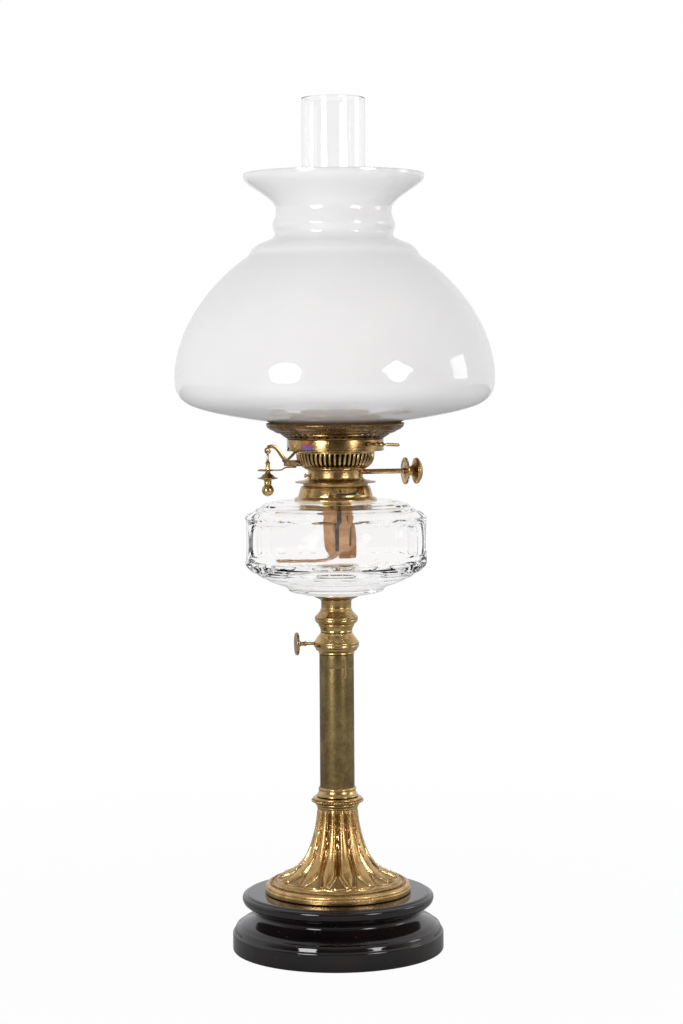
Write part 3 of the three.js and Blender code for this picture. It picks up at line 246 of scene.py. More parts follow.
def make_object(name: str, mesh: Mesh, place: Matrix = Matrix()) -> Piece:
    """Makes an object from corners in millimetres.

    Args:
        name: name of the object.
        mesh: its corners and faces; a face of two corners is an edge.
        place: where the mesh goes, in millimetres.

    Returns:
        The object, with its place in its mesh.
    """
    points, faces = mesh
    data = bpy.data.meshes.new(name)
    edges, whole = [f for f in faces if len(f) == 2], [f for f in faces if len(f) > 2]
    data.from_pydata([place @ Vector(p) * MM for p in points], edges, whole)
    return add_object(name, data)


def move_mesh(piece: Piece, place: Matrix) -> None:
    """Moves a mesh to a place that is in millimetres."""
    metres = place.copy()
    metres.translation = place.translation * MM
    piece.data.transform(metres)


def tidy_mesh(piece: Piece, weld: float = WELD, crease: float = CREASE) -> None:
    """Merges doubled corners, turns the faces outwards and shades them smooth.

    Args:
        piece: the object.
        weld: corners nearer than this are merged.
        crease: edges sharper than this stay sharp.
    """
    work = bmesh.new()
    work.from_mesh(piece.data)
    bmesh.ops.remove_doubles(work, verts=work.verts, dist=weld)
    bmesh.ops.dissolve_degenerate(work, edges=work.edges, dist=weld / 10)
    loose = [v for v in work.verts if not v.link_faces]
    bmesh.ops.delete(work, geom=loose, context="VERTS")
    bmesh.ops.recalc_face_normals(work, faces=work.faces)
    work.to_mesh(piece.data)
    work.free()
    piece.data.shade_smooth()
    piece.data.set_sharp_from_angle(angle=crease)


def loft(rings: Sequence[Sequence[Vector]], capped: bool = True) -> Mesh:
    """Joins closed rings of equally many corners.

    Args:
        rings: the rings in order.
        capped: whether the first and the last ring are closed with a face.

    Returns:
        The mesh.
    """
    count = len(rings[0])
    points = [Vector(p) for ring in rings for p in ring]
    faces: list[tuple[int, ...]] = [
        (i * count + j, i * count + (j + 1) % count,
         (i + 1) * count + (j + 1) % count, (i + 1) * count + j)
        for i in range(len(rings) - 1)
        for j in range(count)
    ]
    if capped:
        faces += [tuple(range(count))[::-1], tuple((len(rings) - 1) * count + j for j in range(count))]
    return points, faces


def bar_along(
    path: Sequence[Sequence[float]], section: Callable[[float], Outline], side: Vector
) -> Mesh:
    """Sweeps a section along a path, with one of its axes held near a direction.

    Args:
        path: points of the path.
        section: gives the section's corners at a share of the way along.
        side: direction that the section's first axis keeps near.

    Returns:
        The mesh.
    """
    rings = []
    last = len(path) - 1
    for i, point in enumerate(path):
        along = (Vector(path[min(i + 1, last)]) - Vector(path[max(i - 1, 0)])).normalized()
        first = (side - along * side.dot(along)).normalized()
        second = along.cross(first)
        rings.append([Vector(point) + first * a + second * b for a, b in section(i / last)])
    return loft(rings)


def merged(meshes: Iterable[Mesh]) -> Mesh:
    """Puts several meshes together as one."""
    points: list[Vector] = []
    faces: list[tuple[int, ...]] = []
    for more_points, more_faces in meshes:
        start = len(points)
        points += more_points
        faces += [tuple(i + start for i in face) for face in more_faces]
    return points, faces


def rounded_box(width: float, depth: float, corner: float, steps: int = 2) -> Outline:
    """Corners of a rectangle with rounded corners, round its middle."""
    line = []
    for k, (sx, sy) in enumerate(((1, 1), (-1, 1), (-1, -1), (1, -1))):
        for i in range(steps + 1):
            angle = TURN / 4 * (k + i / steps)
            line.append((
                sx * (width / 2 - corner) + corner * math.cos(angle),
                sy * (depth / 2 - corner) + corner * math.sin(angle),
            ))
    return line


def prism(outline: Outline, low: float, high: float) -> Mesh:
    """An upright prism between two heights."""
    return loft([[Vector((x, y, z)) for x, y in outline] for z in (low, high)])


def block(low: Sequence[float], high: Sequence[float]) -> Mesh:
    """A box between two corners."""
    (x, y, z), (far_x, far_y, far_z) = low, high
    return prism([(x, y), (far_x, y), (far_x, far_y), (x, far_y)], z, far_z)


def sector(inner: float, outer: float, start: float, end: float, low: float, high: float) -> Mesh:
    """A piece of a flat ring between two angles in degrees from the front towards +X."""
    steps = max(2, int((end - start) / 3))
    angles = [FRONT + math.radians(start + (end - start) * i / steps) for i in range(steps + 1)]
    corners_at = ((inner, low), (outer, low), (outer, high), (inner, high))
    return loft([[polar(r, a, z) for r, z in corners_at] for a in angles])


def toothed(outline: Outline, count: int, depth: float, from_radius: float) -> Mesh:
    """A closed outline turned round the Z axis with teeth on its rim.

    Args:
        outline: the outline, whose last point is its first one.
        count: number of teeth.
        depth: how far the grooves go in.
        from_radius: the teeth fade out inside this radius.

    Returns:
        The mesh.
    """
    rings = []
    for r, z in outline:
        groove = depth * min(1.0, max(0.0, r - from_radius))
        rings.append([polar(r - (groove if i % 4 in (2, 3) else 0), TURN * i / (count * 4), z)
                      for i in range(count * 4)])
    return loft(rings, capped=False)


def pierced_sector(line: Outline, wall: float, pitch: float, hole: tuple[int, int], share: float) -> Mesh:
    """One sector of a thin turned shell with a hole through it, open at its sides.

    Args:
        line: outer line of the shell, upwards.
        wall: thickness.
        pitch: angle of the sector.
        hole: first and last row of corners of the hole.
        share: width of the hole in the sector.

    Returns:
        The mesh.
    """
    angles = [-pitch / 2, -pitch * share / 2, pitch * share / 2, pitch / 2]
    rows = len(line)
    points = [polar(r, a, z) for side in (line, inset(line, wall)) for r, z in side for a in angles]
    low, high = hole

    def corner(side: int, row: int, column: int) -> int:
        """Index of a corner."""
        return (side * rows + row) * 4 + column

    faces: list[tuple[int, ...]] = []
    for side, row, column in itertools.product((0, 1), range(rows - 1), range(3)):
        if column == 1 and low <= row < high:
            continue
        face = (corner(side, row, column), corner(side, row, column + 1),
                corner(side, row + 1, column + 1), corner(side, row + 1, column))
        faces.append(face if side == 0 else face[::-1])
    rims = [(row, column, row, column + 1) for column in range(3) for row in (0, rows - 1)]
    rims += [(row, 1, row, 2) for row in (low, high)]
    rims += [(row, column, row + 1, column) for column in (1, 2) for row in range(low, high)]
    faces += [(corner(0, a, b), corner(0, c, d), corner(1, c, d), corner(1, a, b)) for a, b, c, d in rims]
    return points, faces


# Node trees


class Wiring:
    """Adds and joins the nodes of one tree."""

    def __init__(self, tree: Tree) -> None:
        """Keeps the tree that the nodes go into."""
        self.tree = tree

    def feed(self, node: Node, inputs: Inputs) -> None:
        """Gives inputs of a node, by name or number, their value, socket or node."""
        for key, value in inputs.items():
            if isinstance(value, Node):
                value = value.outputs[0]
            if isinstance(value, Socket):
                self.tree.links.new(value, node.inputs[key])
            else:
                node.inputs[key].default_value = value

    def node(self, kind: str, inputs: Inputs | None = None, **settings: object) -> Node:
        """Adds a node.

        Args:
            kind: its type.
            inputs: a value, a socket or a node for each named or numbered input.
            **settings: values of the node's own properties.

        Returns:
            The node.
        """
        made = self.tree.nodes.new(kind)
        for key, value in settings.items():
            setattr(made, key, value)
        self.feed(made, inputs or {})
        return made

    def close(self, made: Node) -> Tree:
        """Gives a node's result to the group's output and returns the tree."""
        self.node("NodeGroupOutput", {0: made})
        return self.tree

    def group(self, tree: Tree, **inputs: object) -> Node:
        """Places a shared effect."""
        return self.node("ShaderNodeGroup", inputs, node_tree=tree)

    def maths(self, operation: str, *values: object, clamp: bool = False) -> Node:
        """Adds a Math node with these inputs."""
        return self.node("ShaderNodeMath", dict(enumerate(values)), operation=operation, use_clamp=clamp)

    def plus(self, base: object, extra: object, share: float, clamp: bool = False) -> Node:
        """Adds a share of one value to another."""
        return self.maths("MULTIPLY_ADD", extra, share, base, clamp=clamp)

    def vector(self, operation: str, *values: object) -> Node:
        """Adds a Vector Math node with these inputs."""
        return self.node("ShaderNodeVectorMath", dict(enumerate(values)), operation=operation)

    def noise(self, place: Socket, **inputs: object) -> Node:
        """Adds a noise texture."""
        return self.node("ShaderNodeTexNoise", {"Vector": place, **inputs})

    def mix(self, share: object, first: object, second: object) -> Socket:
        """Mixes two colours and returns the result's socket."""
        return self.node("ShaderNodeMix", {0: share, 6: first, 7: second}, data_type="RGBA").outputs[2]

    def spread(
        self, value: object, low: float, high: float, to_low: float = 0, to_high: float = 1
    ) -> Node:
        """Maps a range of values to another one, clamped."""
        return self.node("ShaderNodeMapRange", {0: value, 1: low, 2: high, 3: to_low, 4: to_high})

    def ramp(self, value: object, stops: Sequence[tuple[float, Colour]]) -> Socket:
        """Turns a value into a colour between stops and returns the colour's socket."""
        made = self.node("ShaderNodeValToRGB", {0: value})
        band = made.color_ramp.elements
        while len(band) < len(stops):
            band.new(0.5)
        for element, (position, colour) in zip(band, stops):
            element.position, element.color = position, colour
        return made.outputs[0]

    def bump(self, height: object, depth: float, strength: float = 1.0) -> Node:
        """A normal from a height times its depth in metres."""
        return self.node("ShaderNodeBump", {"Strength": strength, "Distance": depth, "Height": height})


def start_tree(owner: bpy.types.ID) -> Wiring:
    """Switches nodes on for a material or world and empties its tree."""
    owner.use_nodes = True
    owner.node_tree.nodes.clear()
    return Wiring(owner.node_tree)


def open_group(
    kind: str, name: str, inputs: dict[str, tuple[str, object]], output: tuple[str, str]
) -> tuple[Wiring, Sequence[Socket]]:
    """Starts a node group with named sockets.

    Args:
        kind: type of the tree.
        name: its name.
        inputs: kind of socket and default value by name.
        output: name and kind of its one output.

    Returns:
        The wiring and the sockets of the inputs, by name.
    """
    tree = bpy.data.node_groups.new(name, kind)
    for label, (socket_kind, value) in inputs.items():
        socket = tree.interface.new_socket(label, in_out="INPUT", socket_type=f"NodeSocket{socket_kind}")
        if value is not None:
            socket.default_value = value
    tree.interface.new_socket(output[0], in_out="OUTPUT", socket_type=f"NodeSocket{output[1]}")
    wiring = Wiring(tree)
    return wiring, wiring.node("NodeGroupInput").outputs


class Growth:
    """The geometry trees that make turned, repeated and wire pieces."""

    def __init__(self) -> None:
        """Builds the three trees."""
        self.turner = self._turner()
        self.ring = self._ring()
        self.wire = self._wire()

    @staticmethod
    def _open(name: str, inputs: dict) -> tuple[Wiring, Sequence[Socket]]:
        """Starts a geometry tree with these inputs beside Geometry and Material."""
        every = {"Geometry": ("Geometry", None), **inputs, "Material": ("Material", None)}
        return open_group("GeometryNodeTree", name, every, ("Geometry", "Geometry"))

    @staticmethod
    def _close(
        wiring: Wiring, source: Sequence[Socket], made: Node
    ) -> Tree:
        """Ends a tree in Realize Instances and Set Material."""
        real = wiring.node("GeometryNodeRealizeInstances", {0: made})
        return wiring.close(
            wiring.node("GeometryNodeSetMaterial", {"Geometry": real, "Material": source["Material"]}))

    def _turner(self) -> Tree:
        """A line of corners turned round the Z axis."""
        wiring, source = self._open("turned_body", {
            "Sides": ("Int", 96), "Weld Distance": ("Float", WELD),
        })
        size = wiring.node("GeometryNodeAttributeDomainSize", {0: source["Geometry"]})
        columns = wiring.maths("ADD", source["Sides"], 1.0)
        grid = wiring.node("GeometryNodeMeshGrid", {2: size.outputs["Point Count"], 3: columns})
        index = wiring.node("GeometryNodeInputIndex")
        row = wiring.maths("FLOOR", wiring.maths("DIVIDE", wiring.maths("ADD", index, 0.5), columns))
        column = wiring.maths("FLOORED_MODULO", index, columns)
        sample = wiring.node("GeometryNodeSampleIndex", {
            "Geometry": source["Geometry"], "Value": wiring.node("GeometryNodeInputPosition"), "Index": row,
        }, data_type="FLOAT_VECTOR")
        whole = wiring.maths("DIVIDE", TURN, source["Sides"])
        angle = wiring.maths("MULTIPLY", wiring.maths("FLOORED_MODULO", column, source["Sides"]), whole)
        place = wiring.node("ShaderNodeVectorRotate", {"Vector": sample.outputs["Value"], "Angle": angle},
                            rotation_type="Z_AXIS")
        moved = wiring.node("GeometryNodeSetPosition", {"Geometry": grid, "Position": place})
        welded = wiring.node("GeometryNodeMergeByDistance", {
            "Geometry": moved, "Distance": source["Weld Distance"],
        })
        return self._close(wiring, source, welded)

    def _ring(self) -> Tree:
        """A piece repeated round the Z axis and welded at its seams."""
        wiring, source = self._open("ring_of_pieces", {
            "Piece": ("Object", None), "Count": ("Int", 12),
            "Start Angle": ("Float", 0.0), "Weld Distance": ("Float", WELD),
        })
        piece = wiring.node("GeometryNodeObjectInfo", {"Object": source["Piece"]})
        points = wiring.node("GeometryNodePoints", {"Count": source["Count"]})
        pitch = wiring.maths("DIVIDE", TURN, source["Count"])
        step = wiring.maths("MULTIPLY", wiring.node("GeometryNodeInputIndex"), pitch)
        angle = wiring.maths("ADD", step, source["Start Angle"])
        copies = wiring.node("GeometryNodeInstanceOnPoints", {
            "Points": points, "Instance": piece.outputs["Geometry"],
            "Rotation": wiring.node("ShaderNodeCombineXYZ", {"Z": angle}),
        })
        real = wiring.node("GeometryNodeRealizeInstances", {0: copies})
        welded = wiring.node("GeometryNodeMergeByDistance", {
            "Geometry": real, "Distance": source["Weld Distance"],
        })
        return self._close(wiring, source, welded)

    def _wire(self) -> Tree:
        """A round wire along the edges of the input mesh."""
        wiring, source = self._open("round_wire", {"Radius": ("Float", 0.001), "Sides": ("Int", 10)})
        path = wiring.node("GeometryNodeMeshToCurve", {0: source["Geometry"]})
        circle = wiring.node("GeometryNodeCurvePrimitiveCircle", {
            "Resolution": source["Sides"], "Radius": source["Radius"],
        })
        tube = wiring.node("GeometryNodeCurveToMesh", {0: path, "Profile Curve": circle, "Fill Caps": True})
        return self._close(wiring, source, tube)

    @staticmethod
    def grow(seed: Piece, tree: Tree, values: dict[str, object]) -> Piece:
        """Runs a tree on an object and keeps the result as a plain mesh.

        Args:
            seed: the object that the tree works on, which is used up.
            tree: the tree.
            values: the tree's inputs by name.

        Returns:
            The object with the new mesh.
        """
        modifier = seed.modifiers.new("growth", "NODES")
        modifier.node_group = tree
        for item in tree.interface.items_tree:
            if item.item_type == "SOCKET" and item.in_out == "INPUT" and item.name in values:
                modifier[item.identifier] = values[item.name]
        seed.update_tag()
        return bake(seed)


def bake(piece: Piece) -> Piece:
    """Applies the modifiers of an object and returns it."""
    graph = bpy.context.evaluated_depsgraph_get()
    data = bpy.data.meshes.new_from_object(
        piece.evaluated_get(graph), preserve_all_data_layers=True, depsgraph=graph
    )
    piece.modifiers.clear()
    old = piece.data
    piece.data = data
    bpy.data.meshes.remove(old)
    data.name = piece.name
    return piece


def cut_away(piece: Piece, *cutters: Piece) -> None:
    """Takes the cutters out of a piece, which keeps its one finish, and deletes them."""
    finish = next(material for material in piece.data.materials if material)
    for cutter in cutters:
        tidy_mesh(cutter)
        modifier = piece.modifiers.new("cut", "BOOLEAN")
        modifier.operation, modifier.solver, modifier.object = "DIFFERENCE", "EXACT", cutter
        bake(piece)
        bpy.data.objects.remove(cutter)
    piece.data.materials.clear()
    piece.data.materials.append(finish)
    piece.data.polygons.foreach_set("material_index", [0] * len(piece.data.polygons))
    tidy_mesh(piece)


# Finishes


class Effects:
    """Shader node groups that several finishes share."""

    MASK = ("Mask", "Float")

    def __init__(self) -> None:
        """Builds the groups."""
        self.mottle = self._mottle()
        self.scratches = self._scratches()
        self.specks = self._specks()

    def _mottle(self) -> Tree:
        """Cloudy patches."""
        wiring, source = open_group("ShaderNodeTree", "mottle", {
            "Vector": ("Vector", None), "Scale": ("Float", 60.0),
            "Low": ("Float", 0.35), "High": ("Float", 0.7),
        }, self.MASK)
        cloud = wiring.noise(source["Vector"], Scale=source["Scale"], Detail=5.0, Roughness=0.62)
        return wiring.close(wiring.node("ShaderNodeMapRange", {
            0: cloud, 1: source["Low"], 2: source["High"],
        }, interpolation_type="SMOOTHSTEP"))

    def _scratches(self) -> Tree:
        """Fine marks stretched along one direction."""
        wiring, source = open_group("ShaderNodeTree", "scratches", {
            "Vector": ("Vector", None), "Stretch": ("Vector", (1.0, 1.0, 1.0)), "Scale": ("Float", 400.0),
        }, self.MASK)
        stretched = wiring.vector("MULTIPLY", source["Vector"], source["Stretch"]).outputs[0]
        lines = wiring.noise(stretched, Scale=source["Scale"], Detail=3.0, Roughness=0.7)
        return wiring.close(wiring.spread(lines, 0.62, 0.9))

    def _specks(self) -> Tree:
        """Small scattered spots, such as pits or dust."""
        wiring, source = open_group("ShaderNodeTree", "specks", {
            "Vector": ("Vector", None), "Scale": ("Float", 300.0), "Size": ("Float", 0.12),
            "Share": ("Float", 0.3),
        }, self.MASK)
        cells = wiring.node("ShaderNodeTexVoronoi", {"Vector": source["Vector"], "Scale": source["Scale"]})
        near = wiring.maths("LESS_THAN", cells.outputs["Distance"], source["Size"])
        split = wiring.node("ShaderNodeSeparateColor", {0: cells.outputs["Color"]})
        chosen = wiring.maths("LESS_THAN", split.outputs[0], source["Share"])
        return wiring.close(wiring.maths("MULTIPLY", near, chosen))


@dataclass(frozen=True)
class Finish:
    """A finish with its own material."""

    name: str

    def material(self, effects: Effects) -> bpy.types.Material:
        """Builds the material."""
        made = bpy.data.materials.new(self.name)
        made.use_nodes = True
        wiring = Wiring(made.node_tree)
        place = wiring.node("ShaderNodeTexCoord").outputs["Object"]
        wiring.feed(made.node_tree.nodes["Principled BSDF"], self.surface(wiring, effects, place))
        return made

    def surface(self, wiring: Wiring, effects: Effects, place: Socket) -> Inputs:
        """Wires what is special to the finish.

        Args:
            wiring: wiring of the material.
            effects: the shared node groups.
            place: socket with Object coordinates.

        Returns:
            Inputs of the surface shader by name.
        """
        raise NotImplementedError


@dataclass(frozen=True)
class Glaze(Finish):
    """Thick black glaze with a brown cast, a faint ripple and dust."""

    colour: Colour = (0.004, 0.003, 0.004, 1)
    thin_colour: Colour = (0.012, 0.006, 0.006, 1)
    dust_colour: Colour = (0.16, 0.13, 0.13, 1)
    roughness: float = 0.05
    uneven: float = 0.06  # how much rougher the thin places are
    dust_roughness: float = 0.4
    ripple: float = 0.0002

    def surface(self, wiring: Wiring, effects: Effects, place: Socket) -> Inputs:
        """Wires the glaze."""
        cloud = wiring.group(effects.mottle, Vector=place, Scale=22.0, Low=0.4, High=0.75)
        dust = wiring.group(effects.specks, Vector=place, Scale=520.0, Size=0.16, Share=0.06)
        glaze = wiring.mix(cloud, self.colour, self.thin_colour)
        rough = wiring.spread(cloud, 0, 1, self.roughness, self.roughness + self.uneven)
        return {
            "Base Color": wiring.mix(dust, glaze, self.dust_colour),
            "Roughness": wiring.plus(rough, dust, self.dust_roughness),
            "IOR": 1.5,
            "Normal": wiring.bump(wiring.noise(place, Scale=60.0), self.ripple, 0.5),
        }


@dataclass(frozen=True)
class Brass(Finish):
    """Aged brass: mottled, with fine marks, and on pieces that carry shading values a painted brown shade in
    the hollows and a painted highlight on the ridges.
    """

    bright: Colour = (0.80, 0.50, 0.17, 1)
    dull: Colour = (0.42, 0.24, 0.08, 1)
    dark: Colour = (0.07, 0.035, 0.015, 1)
    roughness: float = 0.28
    dull_roughness: float = 0.45
    mottle_scale: float = 70.0
    dull_share: float = 0.5
    mottle_edge: float = 0.18  # half the noise between bright and dull
    marks: tuple[float, float, float] = (1.0, 1.0, 0.08)
    mark_scale: float = 900.0
    mark_depth: float = 0.00005
    mark_roughness: float = 0.12
    pits: float = 0.05
    # painted light from a piece's shading values: painted shade in hollows, with its own roughness and metal,
    # and a paler painted highlight on ridges
    paints_shade_and_highlight: bool = False
    painted_highlight: Colour = (0.95, 0.76, 0.44, 1)
    painted_shade_roughness: float = 0.25
    painted_shade_metal: float = 0.55

    def surface(self, wiring: Wiring, effects: Effects, place: Socket) -> Inputs:
        """Wires the brass."""
        middle = 0.72 - 0.44 * self.dull_share
        cloud = wiring.group(effects.mottle, Vector=place, Scale=self.mottle_scale,
                             Low=middle - self.mottle_edge, High=middle + self.mottle_edge)
        fine = wiring.group(effects.mottle, Vector=place, Scale=self.mottle_scale * 7, Low=0.35, High=0.7)
        marks = wiring.group(effects.scratches, Vector=place, Stretch=self.marks, Scale=self.mark_scale)
        pits = wiring.group(effects.specks, Vector=place, Scale=700.0, Size=0.2, Share=self.pits)
        patchy = wiring.plus(wiring.maths("MULTIPLY", cloud, 0.75), fine, 0.35, clamp=True)
        colour = wiring.mix(pits, wiring.mix(patchy, self.bright, self.dull), self.dark)
        rough = wiring.spread(patchy, 0, 1, self.roughness, self.dull_roughness)
        rough = wiring.plus(rough, marks, self.mark_roughness)
        metal: object = 1.0
        # Painted shade darkens the hollows and a painted highlight lightens the ridges, after the shading
        # values that the piece carries.
        if self.paints_shade_and_highlight:
            recess = wiring.node("ShaderNodeAttribute", attribute_name="recess").outputs["Fac"]
            painted_shade = wiring.maths("MULTIPLY", recess, wiring.spread(fine, 0, 1, 0.75, 1.0))
            colour = wiring.mix(painted_shade, colour, self.dark)
            colour = wiring.mix(wiring.spread(recess, 0, -1), colour, self.painted_highlight)
            rough = wiring.plus(rough, painted_shade, self.painted_shade_roughness)
            metal = wiring.spread(painted_shade, 0, 1, metal, self.painted_shade_metal)
        normal = wiring.bump(wiring.plus(fine, marks, 1.5), self.mark_depth, 0.6)
        return {"Base Color": colour, "Roughness": rough, "Metallic": metal, "Normal": normal}


@dataclass(frozen=True)
class HeatTint(Brass):
    """Aged brass with one patch of temper colours."""

    centre: tuple[float, float, float] = (-0.0209, -0.0309, 0.3871)
    reach: tuple[float, float, float] = (0.0048, 0.0048, 0.0062)
    stops: tuple[tuple[float, Colour], ...] = (
        (0.0, (0.30, 0.55, 0.25, 1)), (0.22, (0.25, 0.30, 0.75, 1)), (0.42, (0.62, 0.22, 0.62, 1)),
        (0.62, (0.85, 0.22, 0.22, 1)), (0.85, (0.95, 0.62, 0.12, 1)),
    )

    def surface(self, wiring: Wiring, effects: Effects, place: Socket) -> Inputs:
        """Wires the brass and lays the patch over it."""
        inputs = super().surface(wiring, effects, place)
        local = wiring.vector("SUBTRACT", place, self.centre)
        local = wiring.vector("MULTIPLY", local, tuple(1 / r for r in self.reach))
        wobble = wiring.noise(place, Scale=260.0)
        far = wiring.plus(wiring.vector("LENGTH", local).outputs["Value"], wobble, 0.3)
        height = wiring.node("ShaderNodeSeparateXYZ", {0: local}).outputs["Z"]
        height = wiring.maths("ADD", height, wiring.spread(wobble, 0.3, 0.7, -0.35, 0.35))
        temper = wiring.ramp(wiring.spread(height, -1, 1), self.stops)
        patch = wiring.spread(far, 1.5, 0.6)
        return {**inputs, "Base Color": wiring.mix(patch, inputs["Base Color"], temper)}


@dataclass(frozen=True)
class ClearGlass(Finish):
    """Clear glass with a very slight tint."""

    colour: Colour = (0.985, 0.98, 0.975, 1)
    tint: float = 0.985  # brightness of the darker patches
    bend: float = 1.5  # index of refraction
    ripple: float = 0.00005
    ripple_scale: float = 25.0

    def surface(self, wiring: Wiring, effects: Effects, place: Socket) -> Inputs:
        """Wires the glass."""
        cloud = wiring.group(effects.mottle, Vector=place, Scale=30.0)
        tinted = tuple(c * self.tint for c in self.colour[:3]) + (1,)
        ripple = wiring.noise(place, Scale=self.ripple_scale, Detail=1.0)
        return {
            "Base Color": wiring.mix(cloud, self.colour, tinted),
            "Roughness": 0.0,
            "IOR": self.bend,
            "Transmission Weight": 1.0,
            "Normal": wiring.bump(ripple, self.ripple),
        }


@dataclass(frozen=True)
class OpalGlass(Finish):
    """White cased glass, glossy, with a faint unevenness and a foot painted brown as painted shadow and
    reflection of the gallery.
    """

    colour: Colour = (0.895, 0.895, 0.9, 1)
    shadow_colour: Colour = (0.865, 0.87, 0.88, 1)
    # painted shadow and reflection of the gallery on the shade's foot, fading out between these heights
    painted_gallery_reflection: Colour = (0.20, 0.14, 0.09, 1)
    painted_reflection_heights: tuple[float, float] = (0.4085, 0.4045)
    glow: float = 0.35  # share of the light that goes through the glass's body
    glow_depth: float = 0.006
    roughness: float = 0.06
    bend: float = 1.62  # index of refraction
    ripple: float = 0.0004

    def surface(self, wiring: Wiring, effects: Effects, place: Socket) -> Inputs:
        """Wires the glass."""
        cloud = wiring.group(effects.mottle, Vector=place, Scale=9.0, Low=0.3, High=0.7)
        colour = wiring.mix(cloud, self.colour, self.shadow_colour)
        height = wiring.node("ShaderNodeSeparateXYZ", {0: place}).outputs["Z"]
        return {
            # Painted shadow and reflection of the gallery: brown below these heights.
            "Base Color": wiring.mix(wiring.spread(height, *self.painted_reflection_heights), colour, self.painted_gallery_reflection),
            "Subsurface Weight": self.glow,
            "Subsurface Radius": (1, 1, 1),
            "Subsurface Scale": self.glow_depth,
            "Roughness": self.roughness,
            "IOR": self.bend,
            "Normal": wiring.bump(wiring.noise(place, Scale=14.0, Detail=1.0), self.ripple, 0.5),
        }


@dataclass(frozen=True)
class Cotton(Finish):
    """Flat woven wick, oil brown, darker where it is soaked and charred at its top."""

    dry: Colour = (0.74, 0.44, 0.23, 1)
    soaked: Colour = (0.40, 0.18, 0.07, 1)
    charred: Colour = (0.02, 0.015, 0.012, 1)
    char_height: float = 0.3965
    char_edge: float = 0.0008
    pick: float = 0.0011  # metres from one thread to the next
    relief: float = 0.00022

    def surface(self, wiring: Wiring, effects: Effects, place: Socket) -> Inputs:
        """Wires the weave."""
        weave = wiring.node("ShaderNodeUVMap", uv_map="weave").outputs[0]
        split = wiring.node("ShaderNodeSeparateXYZ", {0: weave})
        waves = [wiring.maths("MULTIPLY", split.outputs[axis], TURN / self.pick) for axis in "XY"]
        threads = wiring.maths("MULTIPLY", *[wiring.maths("SINE", wave) for wave in waves])
        fuzz = wiring.group(effects.mottle, Vector=place, Scale=500.0, Low=0.3, High=0.7)
        cloud = wiring.group(effects.mottle, Vector=place, Scale=70.0, Low=0.4, High=0.65)
        colour = wiring.mix(cloud, self.dry, self.soaked)
        colour = wiring.mix(wiring.spread(threads, -1, 1, 0.35, 0.0), colour, self.soaked)
        height = wiring.node("ShaderNodeSeparateXYZ", {0: place}).outputs["Z"]
        burnt = wiring.spread(height, self.char_height - self.char_edge, self.char_height)
        return {
            "Base Color": wiring.mix(burnt, colour, self.charred),
            "Roughness": 0.85,
            "Sheen Weight": 0.3,
            "Normal": wiring.bump(wiring.plus(threads, fuzz, 0.8), self.relief),
        }


@dataclass(frozen=True)
class Steel(Finish):
    """Dull steel with rust in spots."""

    clean: Colour = (0.42, 0.41, 0.40, 1)
    rusty: Colour = (0.16, 0.07, 0.035, 1)

    def surface(self, wiring: Wiring, effects: Effects, place: Socket) -> Inputs:
        """Wires the steel."""
        rust = wiring.group(effects.mottle, Vector=place, Scale=140.0, Low=0.55, High=0.72)
        return {
            "Base Color": wiring.mix(rust, self.clean, self.rusty),
            "Metallic": wiring.spread(rust, 0, 1, 1.0, 0.2),
            "Roughness": wiring.spread(rust, 0, 1, 0.35, 0.8),
            "Normal": wiring.bump(wiring.noise(place, Scale=900.0), 0.00006),
        }


